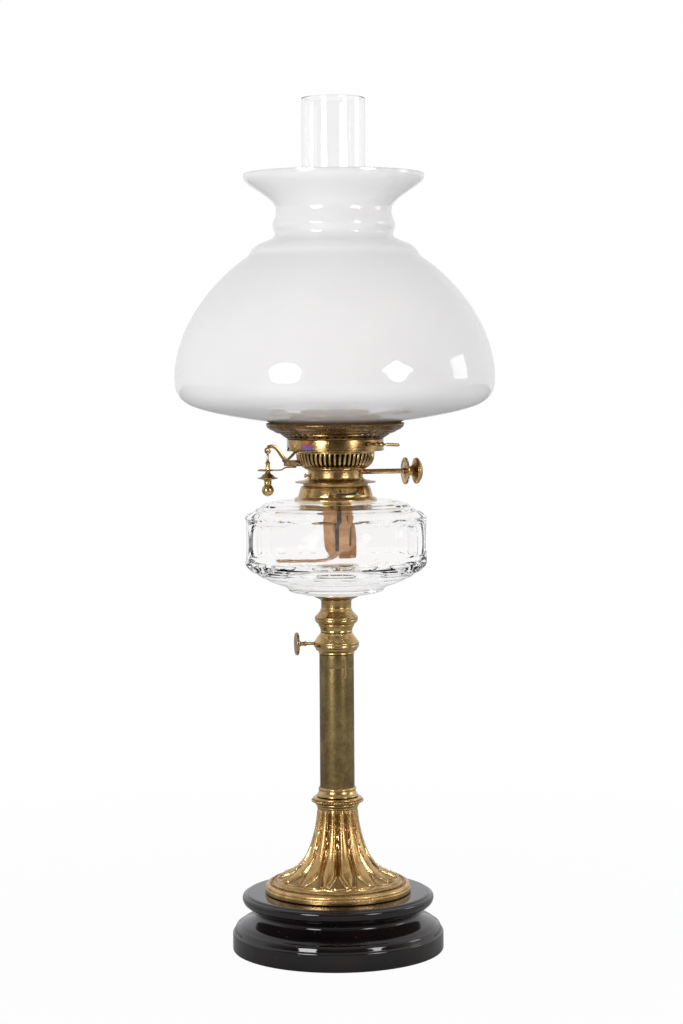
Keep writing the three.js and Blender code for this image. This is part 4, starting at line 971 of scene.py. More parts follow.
class Workshop:
    """Makes pieces, gives them their finish and puts them on their body."""

    def __init__(self) -> None:
        """Builds the trees, the shared effects and the finishes."""
        self.growth = Growth()
        self.effects = Effects()
        self.made: dict[str, bpy.types.Material] = {}

    def paint(self, finish: Finish) -> bpy.types.Material:
        """The finish's material, built once."""
        if finish.name not in self.made:
            self.made[finish.name] = finish.material(self.effects)
        return self.made[finish.name]

    def turned(
        self, name: str, outline: Outline, finish: Finish, sides: int = 96,
        closed: bool = True, place: Matrix = Matrix(),
    ) -> Piece:
        """Turns an outline round the Z axis, then puts the piece in its place.

        Args:
            name: name of the piece.
            outline: the outline; one that isn't closed starts and ends on the axis.
            finish: its finish.
            sides: sides of the round.
            closed: whether the outline's last point joins the first.
            place: where the piece goes, in millimetres.

        Returns:
            The piece.
        """
        line = [Vector((r, 0, z)) for r, z in ([*outline, outline[0]] if closed else outline)]
        values = {"Sides": sides, "Material": self.paint(finish)}
        piece = self.growth.grow(make_object(name, (line, [])), self.growth.turner, values)
        move_mesh(piece, place)
        tidy_mesh(piece)
        return piece

    def ring(
        self, name: str, template: Piece, count: int, finish: Finish,
        start: float = 0.0, weld: float = WELD,
    ) -> Piece:
        """Repeats a template round the Z axis and deletes the template.

        Args:
            name: name of the piece.
            template: the piece that is repeated.
            count: how many times.
            finish: its finish.
            start: angle of the first one.
            weld: corners nearer than this are one corner.

        Returns:
            The piece.
        """
        values = {
            "Piece": template, "Count": count, "Start Angle": start,
            "Weld Distance": weld, "Material": self.paint(finish),
        }
        piece = self.growth.grow(make_object(name, ([Vector()], [])), self.growth.ring, values)
        bpy.data.objects.remove(template)
        tidy_mesh(piece, weld)
        return piece

    def wire(
        self, name: str, path: Sequence[Sequence[float]], radius: float, finish: Finish,
        sides: int = 10, place: Matrix = Matrix(),
    ) -> Piece:
        """Makes a round wire along a path.

        Args:
            name: name of the piece.
            path: its points.
            radius: of the wire.
            finish: its finish.
            sides: sides of the wire.
            place: where it goes.

        Returns:
            The piece.
        """
        seed = make_object(name, (path, [(i, i + 1) for i in range(len(path) - 1)]), place)
        values = {"Radius": radius * MM, "Sides": sides, "Material": self.paint(finish)}
        piece = self.growth.grow(seed, self.growth.wire, values)
        tidy_mesh(piece)
        return piece

    def solid(self, name: str, mesh: Mesh, finish: Finish, place: Matrix = Matrix()) -> Piece:
        """Makes a piece from a mesh in millimetres and its finish."""
        piece = make_object(name, mesh, place)
        piece.data.materials.append(self.paint(finish))
        tidy_mesh(piece)
        return piece

    def join(self, name: str, *parts: Piece) -> Piece:
        """Puts several objects together as one mesh and deletes them."""
        work = bmesh.new()
        for part in parts:
            work.from_mesh(part.data)
        data = bpy.data.meshes.new(name)
        for material in parts[0].data.materials:
            data.materials.append(material)
        work.to_mesh(data)
        work.free()
        for part in parts:
            bpy.data.objects.remove(part)
        data.set_sharp_from_angle(angle=CREASE)
        return add_object(name, data)

    def hand_over(self, piece: Piece, body: Body, slot: Slot, *nodes: str) -> None:
        """Puts a finished piece on its body.

        Args:
            piece: the piece.
            body: the body that it rides on.
            slot: not used.
            *nodes: CAD nodes that it stands for.
        """
        if nodes:
            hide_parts(*nodes)
        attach(piece, body.value)
        LOG.info("%s: %d faces on %s", piece.name, len(piece.data.polygons), body.value)

    def turn_out(
        self, name: str, outline: Outline, finish: Finish, body: Body, slot: Slot, *nodes: str, **how: object
    ) -> None:
        """Turns a piece, as turned() does, and puts it on its body, as hand_over() does."""
        self.hand_over(self.turned(name, outline, finish, **how), body, slot, *nodes)


GLAZE = Glaze("black_glaze")
CAST = Brass(
    "cast_brass_gilt", bright=(0.72, 0.48, 0.20, 1), dull=(0.40, 0.24, 0.095, 1),
    dark=(0.05, 0.026, 0.014, 1), roughness=0.2, dull_roughness=0.36,
    mottle_scale=90.0, dull_share=0.45, paints_shade_and_highlight=True, mark_depth=0.00008,
)
TURNED_BRASS = Brass(
    "turned_brass", bright=(0.66, 0.47, 0.21, 1), dull=(0.34, 0.225, 0.09, 1),
    roughness=0.12, dull_roughness=0.27, mottle_scale=60.0, marks=(1.0, 1.0, 14.0), mark_scale=120.0,
)
COLUMN_BRASS = Brass(
    "column_brass_dull", bright=(0.34, 0.255, 0.11, 1), dull=(0.15, 0.105, 0.045, 1),
    dark=(0.04, 0.025, 0.014, 1), roughness=0.22, dull_roughness=0.38,
    mottle_scale=45.0, dull_share=0.6, marks=(1.0, 1.0, 0.05), mark_scale=700.0, pits=0.12,
)
BURNER_BRASS = Brass(
    "burner_brass_toned", bright=(0.60, 0.42, 0.185, 1), dull=(0.26, 0.165, 0.07, 1),
    dark=(0.05, 0.03, 0.02, 1), roughness=0.13, dull_roughness=0.32, mottle_scale=75.0, dull_share=0.5,
)
BAND_BRASS = HeatTint(
    "band_brass_heat_tinted", bright=(0.50, 0.35, 0.145, 1), dull=(0.22, 0.14, 0.06, 1),
    dark=(0.05, 0.03, 0.02, 1), roughness=0.10, dull_roughness=0.28, mottle_scale=75.0, dull_share=0.5,
)
GALLERY_BRASS = Brass(
    "gallery_brass_dark", bright=(0.34, 0.21, 0.09, 1), dull=(0.10, 0.058, 0.028, 1),
    dark=(0.03, 0.02, 0.015, 1), roughness=0.14, dull_roughness=0.34, mottle_scale=60.0, dull_share=0.6,
)
TUBE_METAL = Brass(
    "wick_tube_metal", bright=(0.11, 0.095, 0.08, 1), dull=(0.06, 0.05, 0.045, 1),
    roughness=0.35, dull_roughness=0.55, mottle_scale=110.0,
)
SOOT = Brass(
    "sooted_brass", bright=(0.045, 0.032, 0.022, 1), dull=(0.015, 0.011, 0.009, 1),
    roughness=0.5, dull_roughness=0.7, mottle_scale=90.0,
)
STEEL = Steel("rusty_steel")
FOUNT_GLASS = ClearGlass("fount_glass", bend=1.2, ripple=0.00008, ripple_scale=38.0)
CHIMNEY_GLASS = ClearGlass("chimney_glass", colour=(0.985, 0.985, 0.985, 1))
OPAL = OpalGlass("opal_glass_white")
WICK_COTTON = Cotton("wick_cotton")


# Sub-assemblies


@dataclass
class Plinth:
    """Black glazed plinth: a wide band, a deep cove and a moulded top."""

    band: Outline = rounded([
        (75.5, 0.4), (75.8, 0), (80.3, 0), (81, 0.9), (81, 13.2), (80.6, 14.0), (79.7, 14.5),
        (79.5, 15.2), (79.0, 17.0), (78.3, 18.3), (77.3, 18.9), (76.6, 19.3),
    ], 0.5)
    cove: Outline = field(default_factory=lambda: smooth([
        (76.6, 19.3), (73.5, 21.5), (69, 23.7), (65.2, 26), (63.6, 28.3), (64.3, 30.7), (67.6, 32.8),
        (70.6, 34.4), (72.6, 36.4), (73.5, 39),
    ], 5))
    top: Outline = rounded([
        (73.5, 39), (73.4, 40.8), (72.7, 41.9), (71.6, 42.2), (71.0, 42.5), (70.2, 43.4), (69.0, 43.7),
        (60, 43.7), (8, 43.7), (4.4, 43.7), (4.4, 35.75), (20, 35.75), (50, 35.75), (55.5, 33, 3),
        (55.5, 25, 3), (62, 18, 3), (72.5, 12.5, 3), (74.3, 8, 3), (75.5, 0.4),
    ], 0.6)

    def build(self, shop: Workshop) -> None:
        """Builds the plinth."""
        outline = [*self.band[:-1], *self.cove[:-1], *self.top[:-1]]
        shop.turn_out("plinth_glazed", outline, GLAZE, Body.BASE, Slot.GLAZE, "plinth", sides=192)


@dataclass
class Foot:
    """Cast foot with lotus leaves, darts between their tips, scallops and a row of pearls."""

    leaf_count: int = 14
    top_radius: float = 15.2
    top: float = 107.7
    tip_radius: float = 45.0
    tip_height: float = 54.8
    slow_share: float = 0.55
    columns: int = 40
    open_length: float = 14.0  # along the flare, from a leaf's tip to where it meets its neighbour
    flare_steps: int = 58
    groove: float = 0.75
    ridge: float = 1.1
    pearl_count: int = 164
    pearl_radius: float = 0.74

    def radius_at(self, height: float) -> float:
        """Radius of the flare at a height, between the leaves' tips and the neck."""
        t = (self.top - height) / (self.top - self.tip_height)
        reach = self.tip_radius - self.top_radius
        return self.top_radius + reach * (self.slow_share * t**1.8 + (1 - self.slow_share) * t**9)

    def flare(self) -> Outline:
        """The outer line from below the leaves' tips up to the neck."""
        low = smooth([(49.3, 52.1), (48.1, 52.75), (46.6, 53.75), (self.tip_radius, self.tip_height)], 5)
        reach = self.top - self.tip_height
        shares = [(i / self.flare_steps) ** 1.55 for i in range(1, self.flare_steps + 1)]
        heights = [self.tip_height + reach * share for share in shares]
        return [*low, *[(self.radius_at(z), z) for z in heights]]

    def relief(self, across: float, along: float, radius: float) -> tuple[float, float]:
        """Height of the carving.

        Args:
            across: place across a leaf, from -0.5 to 0.5.
            along: distance up the flare from the leaves' tips.
            radius: radius of the flare there.

        Returns:
            How far the surface stands out, and its painted shading: up to 1 for painted shade in hollows,
            below 0 for a painted highlight on ridges and beads.
        """
        pitch = TURN * radius / self.leaf_count
        side = abs(across)
        from_dart = 0.5 - side

        def hump(value: float, middle: float, width: float) -> float:
            """A smooth hump round a value."""
            return math.exp(-(((value - middle) / width) ** 2))

        share = min(max(along / self.open_length, 0), 1)
        half = 0.5 - 0.3 * (1 - share) ** 0.8
        scale = (pitch / 16.7) ** 0.5
        edge = min((half - side) * pitch / 1.06, along + 1.0 - 1.8 * (side / 0.2) ** 2)
        near = edge / scale
        if edge < 0:
            # Between the tips: painted shade along the leaves' edges, painted highlight on the lens and the
            # scallop.
            lens = hump(along, 0.4 - 1.3 * (1 - (from_dart / 0.27) ** 2), 0.48) * hump(from_dart, 0, 0.22)
            scallop = hump(along, -1.3 - 1.3 * (1 - (2 * from_dart) ** 2), 0.45)
            height = 0.95 * lens + 0.75 * scallop - 0.6 - 0.25 * hump(near, 0, 0.3)
            return height, 0.45 + 0.4 * hump(near, 0, 0.35) - 1.4 * lens - 1.0 * scallop
        width = pitch * half
        outer, second = hump(near, 0.7, 0.34), hump(near, 1.95, 0.28)
        border = self.ridge * (outer + 0.6 * second)
        valley = -self.groove * hump(near, 0, 0.3) if share >= 1 else -0.6 * hump(near, 0, 0.3)
        gutter = -0.5 * hump(near, 1.35, 0.26) - 0.5 * hump(near, 2.55, 0.3)
        inner = min(near - 2.8, 3.4) / 3.4 if near > 2.8 and width > 2.9 * scale else 0.0
        pad = 1.0 * math.sqrt(max(0.0, 1 - (1 - inner) ** 2))
        # Painted shade in the valley and the gutters, painted highlight on the border ridges.
        dark = hump(near, 0, 0.32) + 0.7 * hump(near, 1.35, 0.26) + 0.8 * hump(near, 2.55, 0.3)
        height = (border + valley + gutter + pad - 0.25) * (0.55 + 0.45 * scale)
        return height, dark - 0.8 * outer - 0.5 * second

    def sector(self) -> Piece:
        """One leaf from groove to groove, with the wall behind it."""
        flare = self.flare()
        tip = flare.index((self.tip_radius, self.tip_height))
        along = [0.0] * len(flare)
        for i in range(tip + 1, len(flare)):
            along[i] = along[i - 1] + math.dist(flare[i], flare[i - 1])
        for i in range(tip - 1, -1, -1):
            along[i] = along[i + 1] - math.dist(flare[i], flare[i + 1])
        back = corners([
            (self.top_radius, self.top), (12.3, self.top), (12.3, 74, 4), (12, 66, 2), (4.2, 64, 0.2),
            (4.2, 58.5, 0.2), (26, 57, 3), (36, 54, 4), (42, 50.5, 4), (44, 46, 1), (44, 43.9, 0.2),
            (55.6, 43.9), (56, 44.4), (56.1, 47.3), (55.7, 47.8), (55.35, 48.05), (55.55, 48.4),
            (55.5, 49.2), (54.9, 50.2), (53.7, 50.7), (52.6, 50.7), (51.9, 50.3), (51.4, 50.7),
            (50.2, 51.5), (49.3, 52.1),
        ], 0.45)
        plain = back[1:-1]
        points: list[Vector] = []
        depth: list[float] = []
        for j in range(self.columns + 1):
            across = j / self.columns - 0.5
            angle = across * TURN / self.leaf_count
            for i, (r, z) in enumerate(flare):
                before, after = flare[max(i - 1, 0)], flare[min(i + 1, len(flare) - 1)]
                tangent = Vector((after[0] - before[0], after[1] - before[1])).normalized()
                height, dark = self.relief(across, along[i], r)
                fade = min(1.0, i / 3) * min(1.0, (len(flare) - 1 - i) / 2)
                points.append(polar(r + tangent.y * height * fade, angle, z - tangent.x * height * fade))
                # painted shade and highlight values for each corner of the leaf
                depth.append(dark * min(1.0, i / 2))
            points += [polar(r, angle, z) for r, z in plain]
            # painted shade under the pearls
            depth += [0.7 if 49.9 < r < 52.2 else 0.0 for r, z in plain]  # dark under the pearls
        count = len(flare) + len(plain)
        faces = [
            (j * count + i, j * count + (i + 1) % count,
             (j + 1) * count + (i + 1) % count, (j + 1) * count + i)
            for j in range(self.columns) for i in range(count)
        ]
        template = make_object("foot_sector", (points, faces))
        # the values go on as an attribute that the cast brass reads for its painted shade and highlight
        layer = template.data.attributes.new("recess", "FLOAT", "POINT")
        layer.data.foreach_set("value", depth)
        return template

    def build(self, shop: Workshop) -> None:
        """Builds the foot and its pearls."""
        start = FRONT + TURN / self.leaf_count / 2
        foot = shop.ring("foot_lotus_casting", self.sector(), self.leaf_count, CAST, start, weld=2e-5)
        pearl = make_object("pearl", dome(self.pearl_radius, 7, 3), place_at(50.9, 0, 51.7, 34, "Y"))
        pearls = shop.ring("foot_pearl_row", pearl, self.pearl_count, TURNED_BRASS)
        shop.hand_over(foot, Body.BASE, Slot.CAST, "foot")
        shop.hand_over(pearls, Body.BASE, Slot.CAST)


def dome(radius: float, sides: int, rows: int) -> Mesh:
    """A ball of a few dozen faces, round the origin."""
    points = [Vector((0, 0, -radius))]
    for i in range(1, rows * 2):
        tilt = math.pi * i / (rows * 2) - math.pi / 2
        flat, height = radius * math.cos(tilt), radius * math.sin(tilt)
        points += [polar(flat, TURN * j / sides, height) for j in range(sides)]
    points.append(Vector((0, 0, radius)))
    last = len(points) - 1
    faces: list[tuple[int, ...]] = []
    for j in range(sides):
        after = (j + 1) % sides
        faces += [(0, 1 + after, 1 + j), (last, last - sides + j, last - sides + after)]
        for i in range(rows * 2 - 2):
            low = 1 + i * sides
            faces.append((low + j, low + after, low + sides + after, low + sides + j))
    return points, faces


@dataclass
class Column:
    """Pearl ring, bell cup and plain column."""

    pearl_count: int = 54
    pearl_radius: float = 1.1
    pearl_place: tuple[float, float] = (19.0, 113.7)
    ring: Outline = rounded([
        (13.5, 107.95), (15.6, 107.95), (15.9, 108.6), (15.7, 109.5), (16.6, 110.2), (17.0, 111.0),
        (16.7, 111.8), (16.1, 112.2), (17.6, 112.6), (18.2, 113.4), (18.3, 114.4), (18.9, 114.9),
        (18.9, 115.7), (18.2, 116.4), (16.9, 116.6), (13.5, 116.6),
    ], 0.5)
    cup: Outline = rounded([
        (13.5, 116.8), (15.6, 116.85), (16.2, 117.3), (16.0, 118.1, 0.6), (15.0, 119.0, 1.1),
        (14.4, 120.4, 1.1), (14.1, 121.6, 0.5), (14.5, 122.2), (14.7, 122.9), (14.2, 123.7),
        (13.7, 124.1), (13.5, 124.1),
    ], 0.45)
    tube: Outline = rounded([
        (12.1, 107.95), (13.0, 107.95), (13.3, 108.3), (13.3, 215.7), (13.12, 216.0, 0.1), (13.3, 216.3),
        (13.3, 225.9), (13.1, 226.1), (12.1, 226.1),
    ], 0.25)

    def build(self, shop: Workshop) -> None:
        """Builds the pieces."""
        shop.turn_out("pearl_ring_body", self.ring, TURNED_BRASS, Body.BASE, Slot.CAST, "beaded_ring",
                      sides=112)
        r, z = self.pearl_place
        pearl = make_object("pearl", dome(self.pearl_radius, 9, 3), place_at(r, 0, z))
        pearls = shop.ring("pearl_ring_pearls", pearl, self.pearl_count, TURNED_BRASS, FRONT)
        shop.hand_over(pearls, Body.BASE, Slot.CAST)
        shop.turn_out("column_cup", self.cup, TURNED_BRASS, Body.BASE, Slot.CAST, "column_collar")
        shop.turn_out("column_tube_brass", self.tube, COLUMN_BRASS, Body.BASE, Slot.COLUMN, "column_tube",
                      sides=112)
        shop.hand_over(self.drip(shop), Body.BASE, Slot.COLUMN)

    @staticmethod
    def drip(shop: Workshop) -> Piece:
        """A run of old lacquer down the column, thickest at its end."""
        rings = []
        rows, sides, column = 12, 8, 13.3
        for i in range(rows + 1):
            share = i / rows
            swell = 0.55 + 0.9 * math.exp(-(((share - 0.86) / 0.11) ** 2))
            half = swell * math.sqrt(max(0.02, 1 - share**12))
            middle, z = FRONT + math.radians(29 + 2.5 * math.sin(3 * share)), 225.0 - 16.8 * share
            rings.append([
                polar(column + 0.22 * half * math.sin(a), middle + half * math.cos(a) / column, z)
                for a in (TURN * k / sides for k in range(sides))
            ])
        return shop.solid("column_lacquer_drip", loft(rings), TURNED_BRASS)


@dataclass
class Clamp:
    """Clamp collar on the column and the thumbscrew in it."""

    knob: Outline = rounded([
        (11.0, 226.3), (13.3, 226.3), (13.9, 226.9), (13.6, 227.9), (14.5, 228.6), (15.6, 229.3, 0.6),
        (16.2, 230.5, 0.8), (16.5, 231.2), (17.2, 231.7), (17.55, 232.4), (17.2, 233.1), (17.2, 234.0),
        (17.6, 234.8), (17.3, 235.6), (16.7, 236.0), (16.0, 237.2, 0.9), (14.9, 238.9, 1.0),
        (13.9, 240.2, 0.8), (13.3, 241.0), (12.9, 241.5), (12.5, 242.2), (12.3, 242.7), (11.0, 242.7),
    ], 0.4)
    screw_angle: float = 190.0
    screw_height: float = 234.5

    def build(self, shop: Workshop) -> None:
        """Builds the collar, bored for the screw, and the thumbscrew."""
        collar = shop.turned("clamp_collar_knop", self.knob, TURNED_BRASS, 112)
        place = place_at(0, 0, self.screw_height, self.screw_angle) @ ALONG_X
        bore = shop.turned("bore", [(0, 5), (1.6, 5), (1.6, 25), (0, 25)], TURNED_BRASS, 24, place=place)
        cut_away(collar, bore)
        shop.hand_over(collar, Body.BASE, Slot.COLUMN, "clamp_collar")
        screw = corners([
            (0, 11.05), (0.9, 11.05), (1.3, 11.5), (1.3, 16.9), *ridges(1.4, 0.4, 17.2, 23.4, 5),
            (1.7, 23.6), (2.1, 24.2), (1.6, 25.0), (1.5, 27.6, 0.6), (2.6, 28.9, 0.8), (4.2, 29.5, 0.8),
            (7.6, 29.75), (8.6, 29.9), (8.75, 30.4), (8.75, 31.4), (8.5, 31.9), (7.3, 32.0),
            (3.0, 32.15), (0, 32.2),
        ], 0.25)
        shop.turn_out("thumbscrew_disc", screw, BURNER_BRASS, Body.THUMBSCREW, Slot.COLUMN, "thumbscrew",
                      sides=64, closed=False, place=place)


@dataclass
class Stem:
    """Sliding tube, upper knop, dish and the stud under the glass."""

    knop: Outline = rounded([
        (11.0, 242.9), (12.0, 242.9), (12.45, 243.6), (12.15, 244.5, 0.6), (12.6, 246.3, 0.8),
        (13.4, 247.8, 0.6), (14.0, 248.6), (13.8, 249.3), (14.8, 249.9), (15.6, 250.7, 0.5),
        (16.1, 251.4), (16.75, 252.0), (16.45, 252.7), (16.45, 253.4), (16.85, 254.1), (16.6, 254.8),
        (15.9, 255.5, 0.5), (14.5, 257.0, 0.8), (13.2, 258.5, 0.9), (12.2, 259.6, 0.6), (12.4, 260.3),
        (12.0, 260.9), (11.6, 261.8), (11.6, 266.8, 0.6), (12.1, 267.5), (12.1, 268.0), (5.25, 268.0),
        (5.25, 256.95), (11.0, 256.95),
    ], 0.4)
    dish: Outline = rounded([
        (5.25, 268.2), (12.6, 268.2), (13.8, 268.8, 0.6), (15.4, 269.5, 0.9), (17.0, 270.3, 0.6),
        (17.75, 270.9), (17.75, 271.5), (17.4, 271.8), (5.25, 271.8),
    ], 0.35)
    peg: Outline = rounded([
        (0, 256.95), (4.7, 256.95), (5.0, 257.3), (5.0, 272.0), (14.7, 272.0), (15.0, 272.3),
        (15.0, 273.0), (14.7, 273.2), (0, 273.2),
    ], 0.25)
    tube: Outline = rounded([
        (9.5, 98.7), (10.5, 98.7), (10.7, 99.0), (10.7, 256.4), (10.5, 256.7), (9.5, 256.7),
    ], 0.2)

    def build(self, shop: Workshop) -> None:
        """Builds the pieces."""
        for name, outline, finish, node, how in (
            ("sliding_tube", self.tube, COLUMN_BRASS, "inner_tube", {}),
            ("upper_knop", self.knop, TURNED_BRASS, "fount_knop", {"sides": 112}),
            ("fount_dish_flared", self.dish, TURNED_BRASS, "fount_dish", {"sides": 112}),
            ("fount_stud", self.peg, TURNED_BRASS, "fount_peg", {"sides": 64, "closed": False}),
        ):
            shop.turn_out(name, outline, finish, Body.STEM, Slot.COLUMN, node, **how)


@dataclass
class Fount:
    """Clear glass oil reservoir with flat panels and a stepped top and bottom."""

    panel_count: int = 14
    corner_angle: float = math.radians(5.6)
    columns: int = 12  # in each panel
    band_low: float = 297.0
    band_high: float = 331.5
    arch: float = 3.4
    blend: float = 1.6  # height over which a panel starts and ends
    sink: float = 0.35  # how deep the panels lie
    outer: Outline = field(default_factory=lambda: [
        *corners([
            (15.4, 273.4), (15.4, 272.1), (25.2, 272.1), (26.6, 272.7), (33.4, 273.9, 1.2),
            (36.2, 275.0, 0.8), (37.6, 277.4, 1.2), (40.2, 278.9, 1.2), (44.5, 280.2, 1.0),
            (51.4, 282.6, 1.4), (53.6, 284.6, 1.0), (58.6, 286.2, 1.2), (60.6, 288.2, 1.0),
            (65.2, 290.4, 1.2), (67.6, 292.6, 1.0),
        ], 0.6),
        *smooth([(68.6, 293.6), (69.7, 295.6), (70.2, 298)], 3),
        *[(70.3, 300 + 29 * i / 18) for i in range(19)],
        *smooth([(70.1, 331), (69.3, 332.8), (67.6, 334.2)], 3),
        *corners([
            (66.2, 335.0), (64.6, 335.7, 0.8), (62.2, 336.6, 0.8), (60.6, 338.4, 0.8),
            (57.6, 339.6, 0.8), (55.6, 341.6, 0.8), (51.6, 343.0, 1.0), (47.0, 344.3, 1.2),
            (40.0, 344.5, 1.0), (25.4, 344.5, 1.2), (24.0, 346, 0.6), (24.0, 348.6), (23.4, 349.2),
            (21.6, 349.2), (21.0, 348.6),
        ], 0.5),
    ])
    inner: Outline = field(default_factory=lambda: [
        (21.0, 345.5),
        *smooth([
            (21.2, 343.4), (24.0, 341.2), (32, 339.9), (44, 338.6), (52.5, 335.2), (58.5, 330.0),
            (61.2, 322.5), (62.0, 313), (61.6, 304), (59.4, 298.2), (54.0, 294.6), (44, 292.6),
            (30, 292.1), (15, 292.0), (0, 292.0),
        ], 4),
    ])

    def radius(self, r: float, z: float, phase: float) -> float:
        """Radius of the outside with its flat panels.

        Args:
            r: radius of the round form.
            z: height.
            phase: place across a panel, from -1 to 1.

        Returns:
            The radius.
        """
        bow = self.arch * phase**2
        low, high = self.band_low + bow, self.band_high - bow
        share = min(max((z - low) / self.blend + 0.5, 0), 1) * min(max((high - z) / self.blend + 0.5, 0), 1)
        share = share * share * (3 - 2 * share)
        half = math.pi / self.panel_count
        flat = r * math.cos(half) / math.cos(phase * half)
        return r + (flat - self.sink - r) * share

    def mesh(self) -> Mesh:
        """The glass, closed from its stud's seat round the neck to the middle of its floor."""
        line = [(0.0, self.outer[0][1]), *self.outer, *self.inner]
        outside = len(self.outer) + 1
        count = self.panel_count * self.columns
        rings = []
        for i, (r, z) in enumerate(line):
            ring = []
            for j in range(count):
                phase = (j % self.columns) / self.columns * 2 - 1
                own = self.radius(r, z, phase) if i < outside and r > 60 else r
                ring.append(polar(own, FRONT + self.corner_angle + TURN * j / count, z))
            rings.append(ring)
        return loft(rings, capped=False)

    def build(self, shop: Workshop) -> None:
        """Builds the glass."""
        glass = shop.solid("fount_glass_panelled", self.mesh(), FOUNT_GLASS)
        glass.data.set_sharp_from_angle(angle=math.radians(50))
        shop.hand_over(glass, Body.STEM, Slot.CLEAR, "fount")


@dataclass
class Collar:
    """Bayonet collar on the glass neck, with its slots and eyelet."""

    outline: Outline = rounded([
        (24.5, 344.52), (31.4, 344.52), (32.0, 345.0), (32.0, 345.7), (31.5, 346.2), (30.9, 346.4),
        (30.7, 346.9), (29.2, 347.1), (28.7, 347.8), (28.5, 349.0, 0.8), (27.9, 351.2, 0.8),
        (27.2, 353.8, 0.5), (26.7, 354.5), (26.3, 355.4), (21.5, 355.4), (21.5, 349.45), (24.5, 349.45),
    ], 0.35)
    eyelet_angle: float = -5.7  # from the front
    eyelet_height: float = 350.2
    slots: tuple[tuple[float, ...], ...] = (  # angles from the front and heights of each cut
        (7, 52, 349.1, 352.8), (37, 52, 349.1, 357), (3.4, 8.6, 347.3, 354.4),
    )

    def build(self, shop: Workshop) -> None:
        """Builds the collar."""
        collar = shop.turned("fount_collar_bayonet", self.outline, TURNED_BRASS, 144)
        cut_away(collar, *[
            make_object("slot_cutter", sector(21.2, 34, start + turn, end + turn, bottom, top))
            for turn in (0, 180) for start, end, bottom, top in self.slots
        ])
        place = place_at(0, 0, self.eyelet_height, self.eyelet_angle - 90) @ ALONG_X
        ring = corners([
            (0, 26.0), (3.0, 26.0), (3.1, 29.8), (3.0, 30.6), (2.6, 31.0), (2.1, 30.7), (1.9, 29.6),
            (1.75, 29.3), (1.5, 29.9), (1.2, 30.0), (1.05, 29.6), (1.05, 27.6), (0, 27.4),
        ], 0.15)
        shop.hand_over(collar, Body.STEM, Slot.BURNER, "fount_collar")
        shop.turn_out("collar_eyelet", ring, BURNER_BRASS, Body.STEM, Slot.BURNER,
                      sides=32, closed=False, place=place)


@dataclass
class BurnerBase:
    """Throat with its flange and lugs, and the small screw in its side."""

    outline: Outline = rounded([
        (20.2, -5), (21.15, -5), (21.15, 0.05), (25.0, 0.05), (25.1, 2.1), (25.6, 2.3), (30.2, 2.35),
        (31.0, 2.6), (31.3, 2.95), (30.9, 3.3), (28, 3.7, 1.0), (24.5, 4.5, 1.2), (22.2, 5.3, 0.6),
        (21.7, 5.9), (21.35, 6.7, 0.5), (21.2, 9, 1), (21.2, 12.2), (21.7, 12.8), (22.3, 13.2),
        (22.3, 13.8), (21.7, 14.1), (21.1, 14.4), (20.2, 14.4),
    ], 0.3)
    lug_angle: float = 0.6

    def build(self, shop: Workshop) -> None:
        """Builds the pieces."""
        base = shop.turned("burner_base_throat", self.outline, BURNER_BRASS, 144, place=BURNER_PLACE)
        bore = [(0, 15), (2.3, 15), (2.3, 26), (0, 26)]
        hole = shop.turned("bore", bore, BURNER_BRASS, 24, place=SPINDLE_PLACE)
        cut_away(base, hole)
        lugs = [
            shop.solid("lug", block((20.6, -2.9, -4.3), (27.3, 2.9, -2.0)), BURNER_BRASS,
                       BURNER_PLACE @ place_at(0, 0, 0, self.lug_angle + turn - 90))
            for turn in (0, 180)
        ]
        shop.hand_over(base, Body.BURNER, Slot.BURNER, "burner_base")
        shop.hand_over(shop.join("bayonet_lugs", *lugs), Body.BURNER, Slot.BURNER)
        head = corners([
            (0, 21.5), (0.9, 21.5), (0.9, 23.2), (1.6, 23.4), (1.75, 24.0), (1.3, 24.6), (0.5, 24.85),
            (0, 24.85),
        ], 0.2)
        shop.turn_out("throat_screw", head, BURNER_BRASS, Body.BURNER, Slot.BURNER, "burner_screw", sides=24,
                      closed=False, place=BURNER_PLACE @ place_at(0, 0, 8.1, -90, "Y"))


def arm_notch(shop: Workshop, low: float) -> Piece:
    """A cutter for the notch that the snuffer's arm goes through."""
    return shop.solid("notch", block((-40, -2.2, low), (-22, 2.2, 30)), SOOT, BURNER_PLACE)


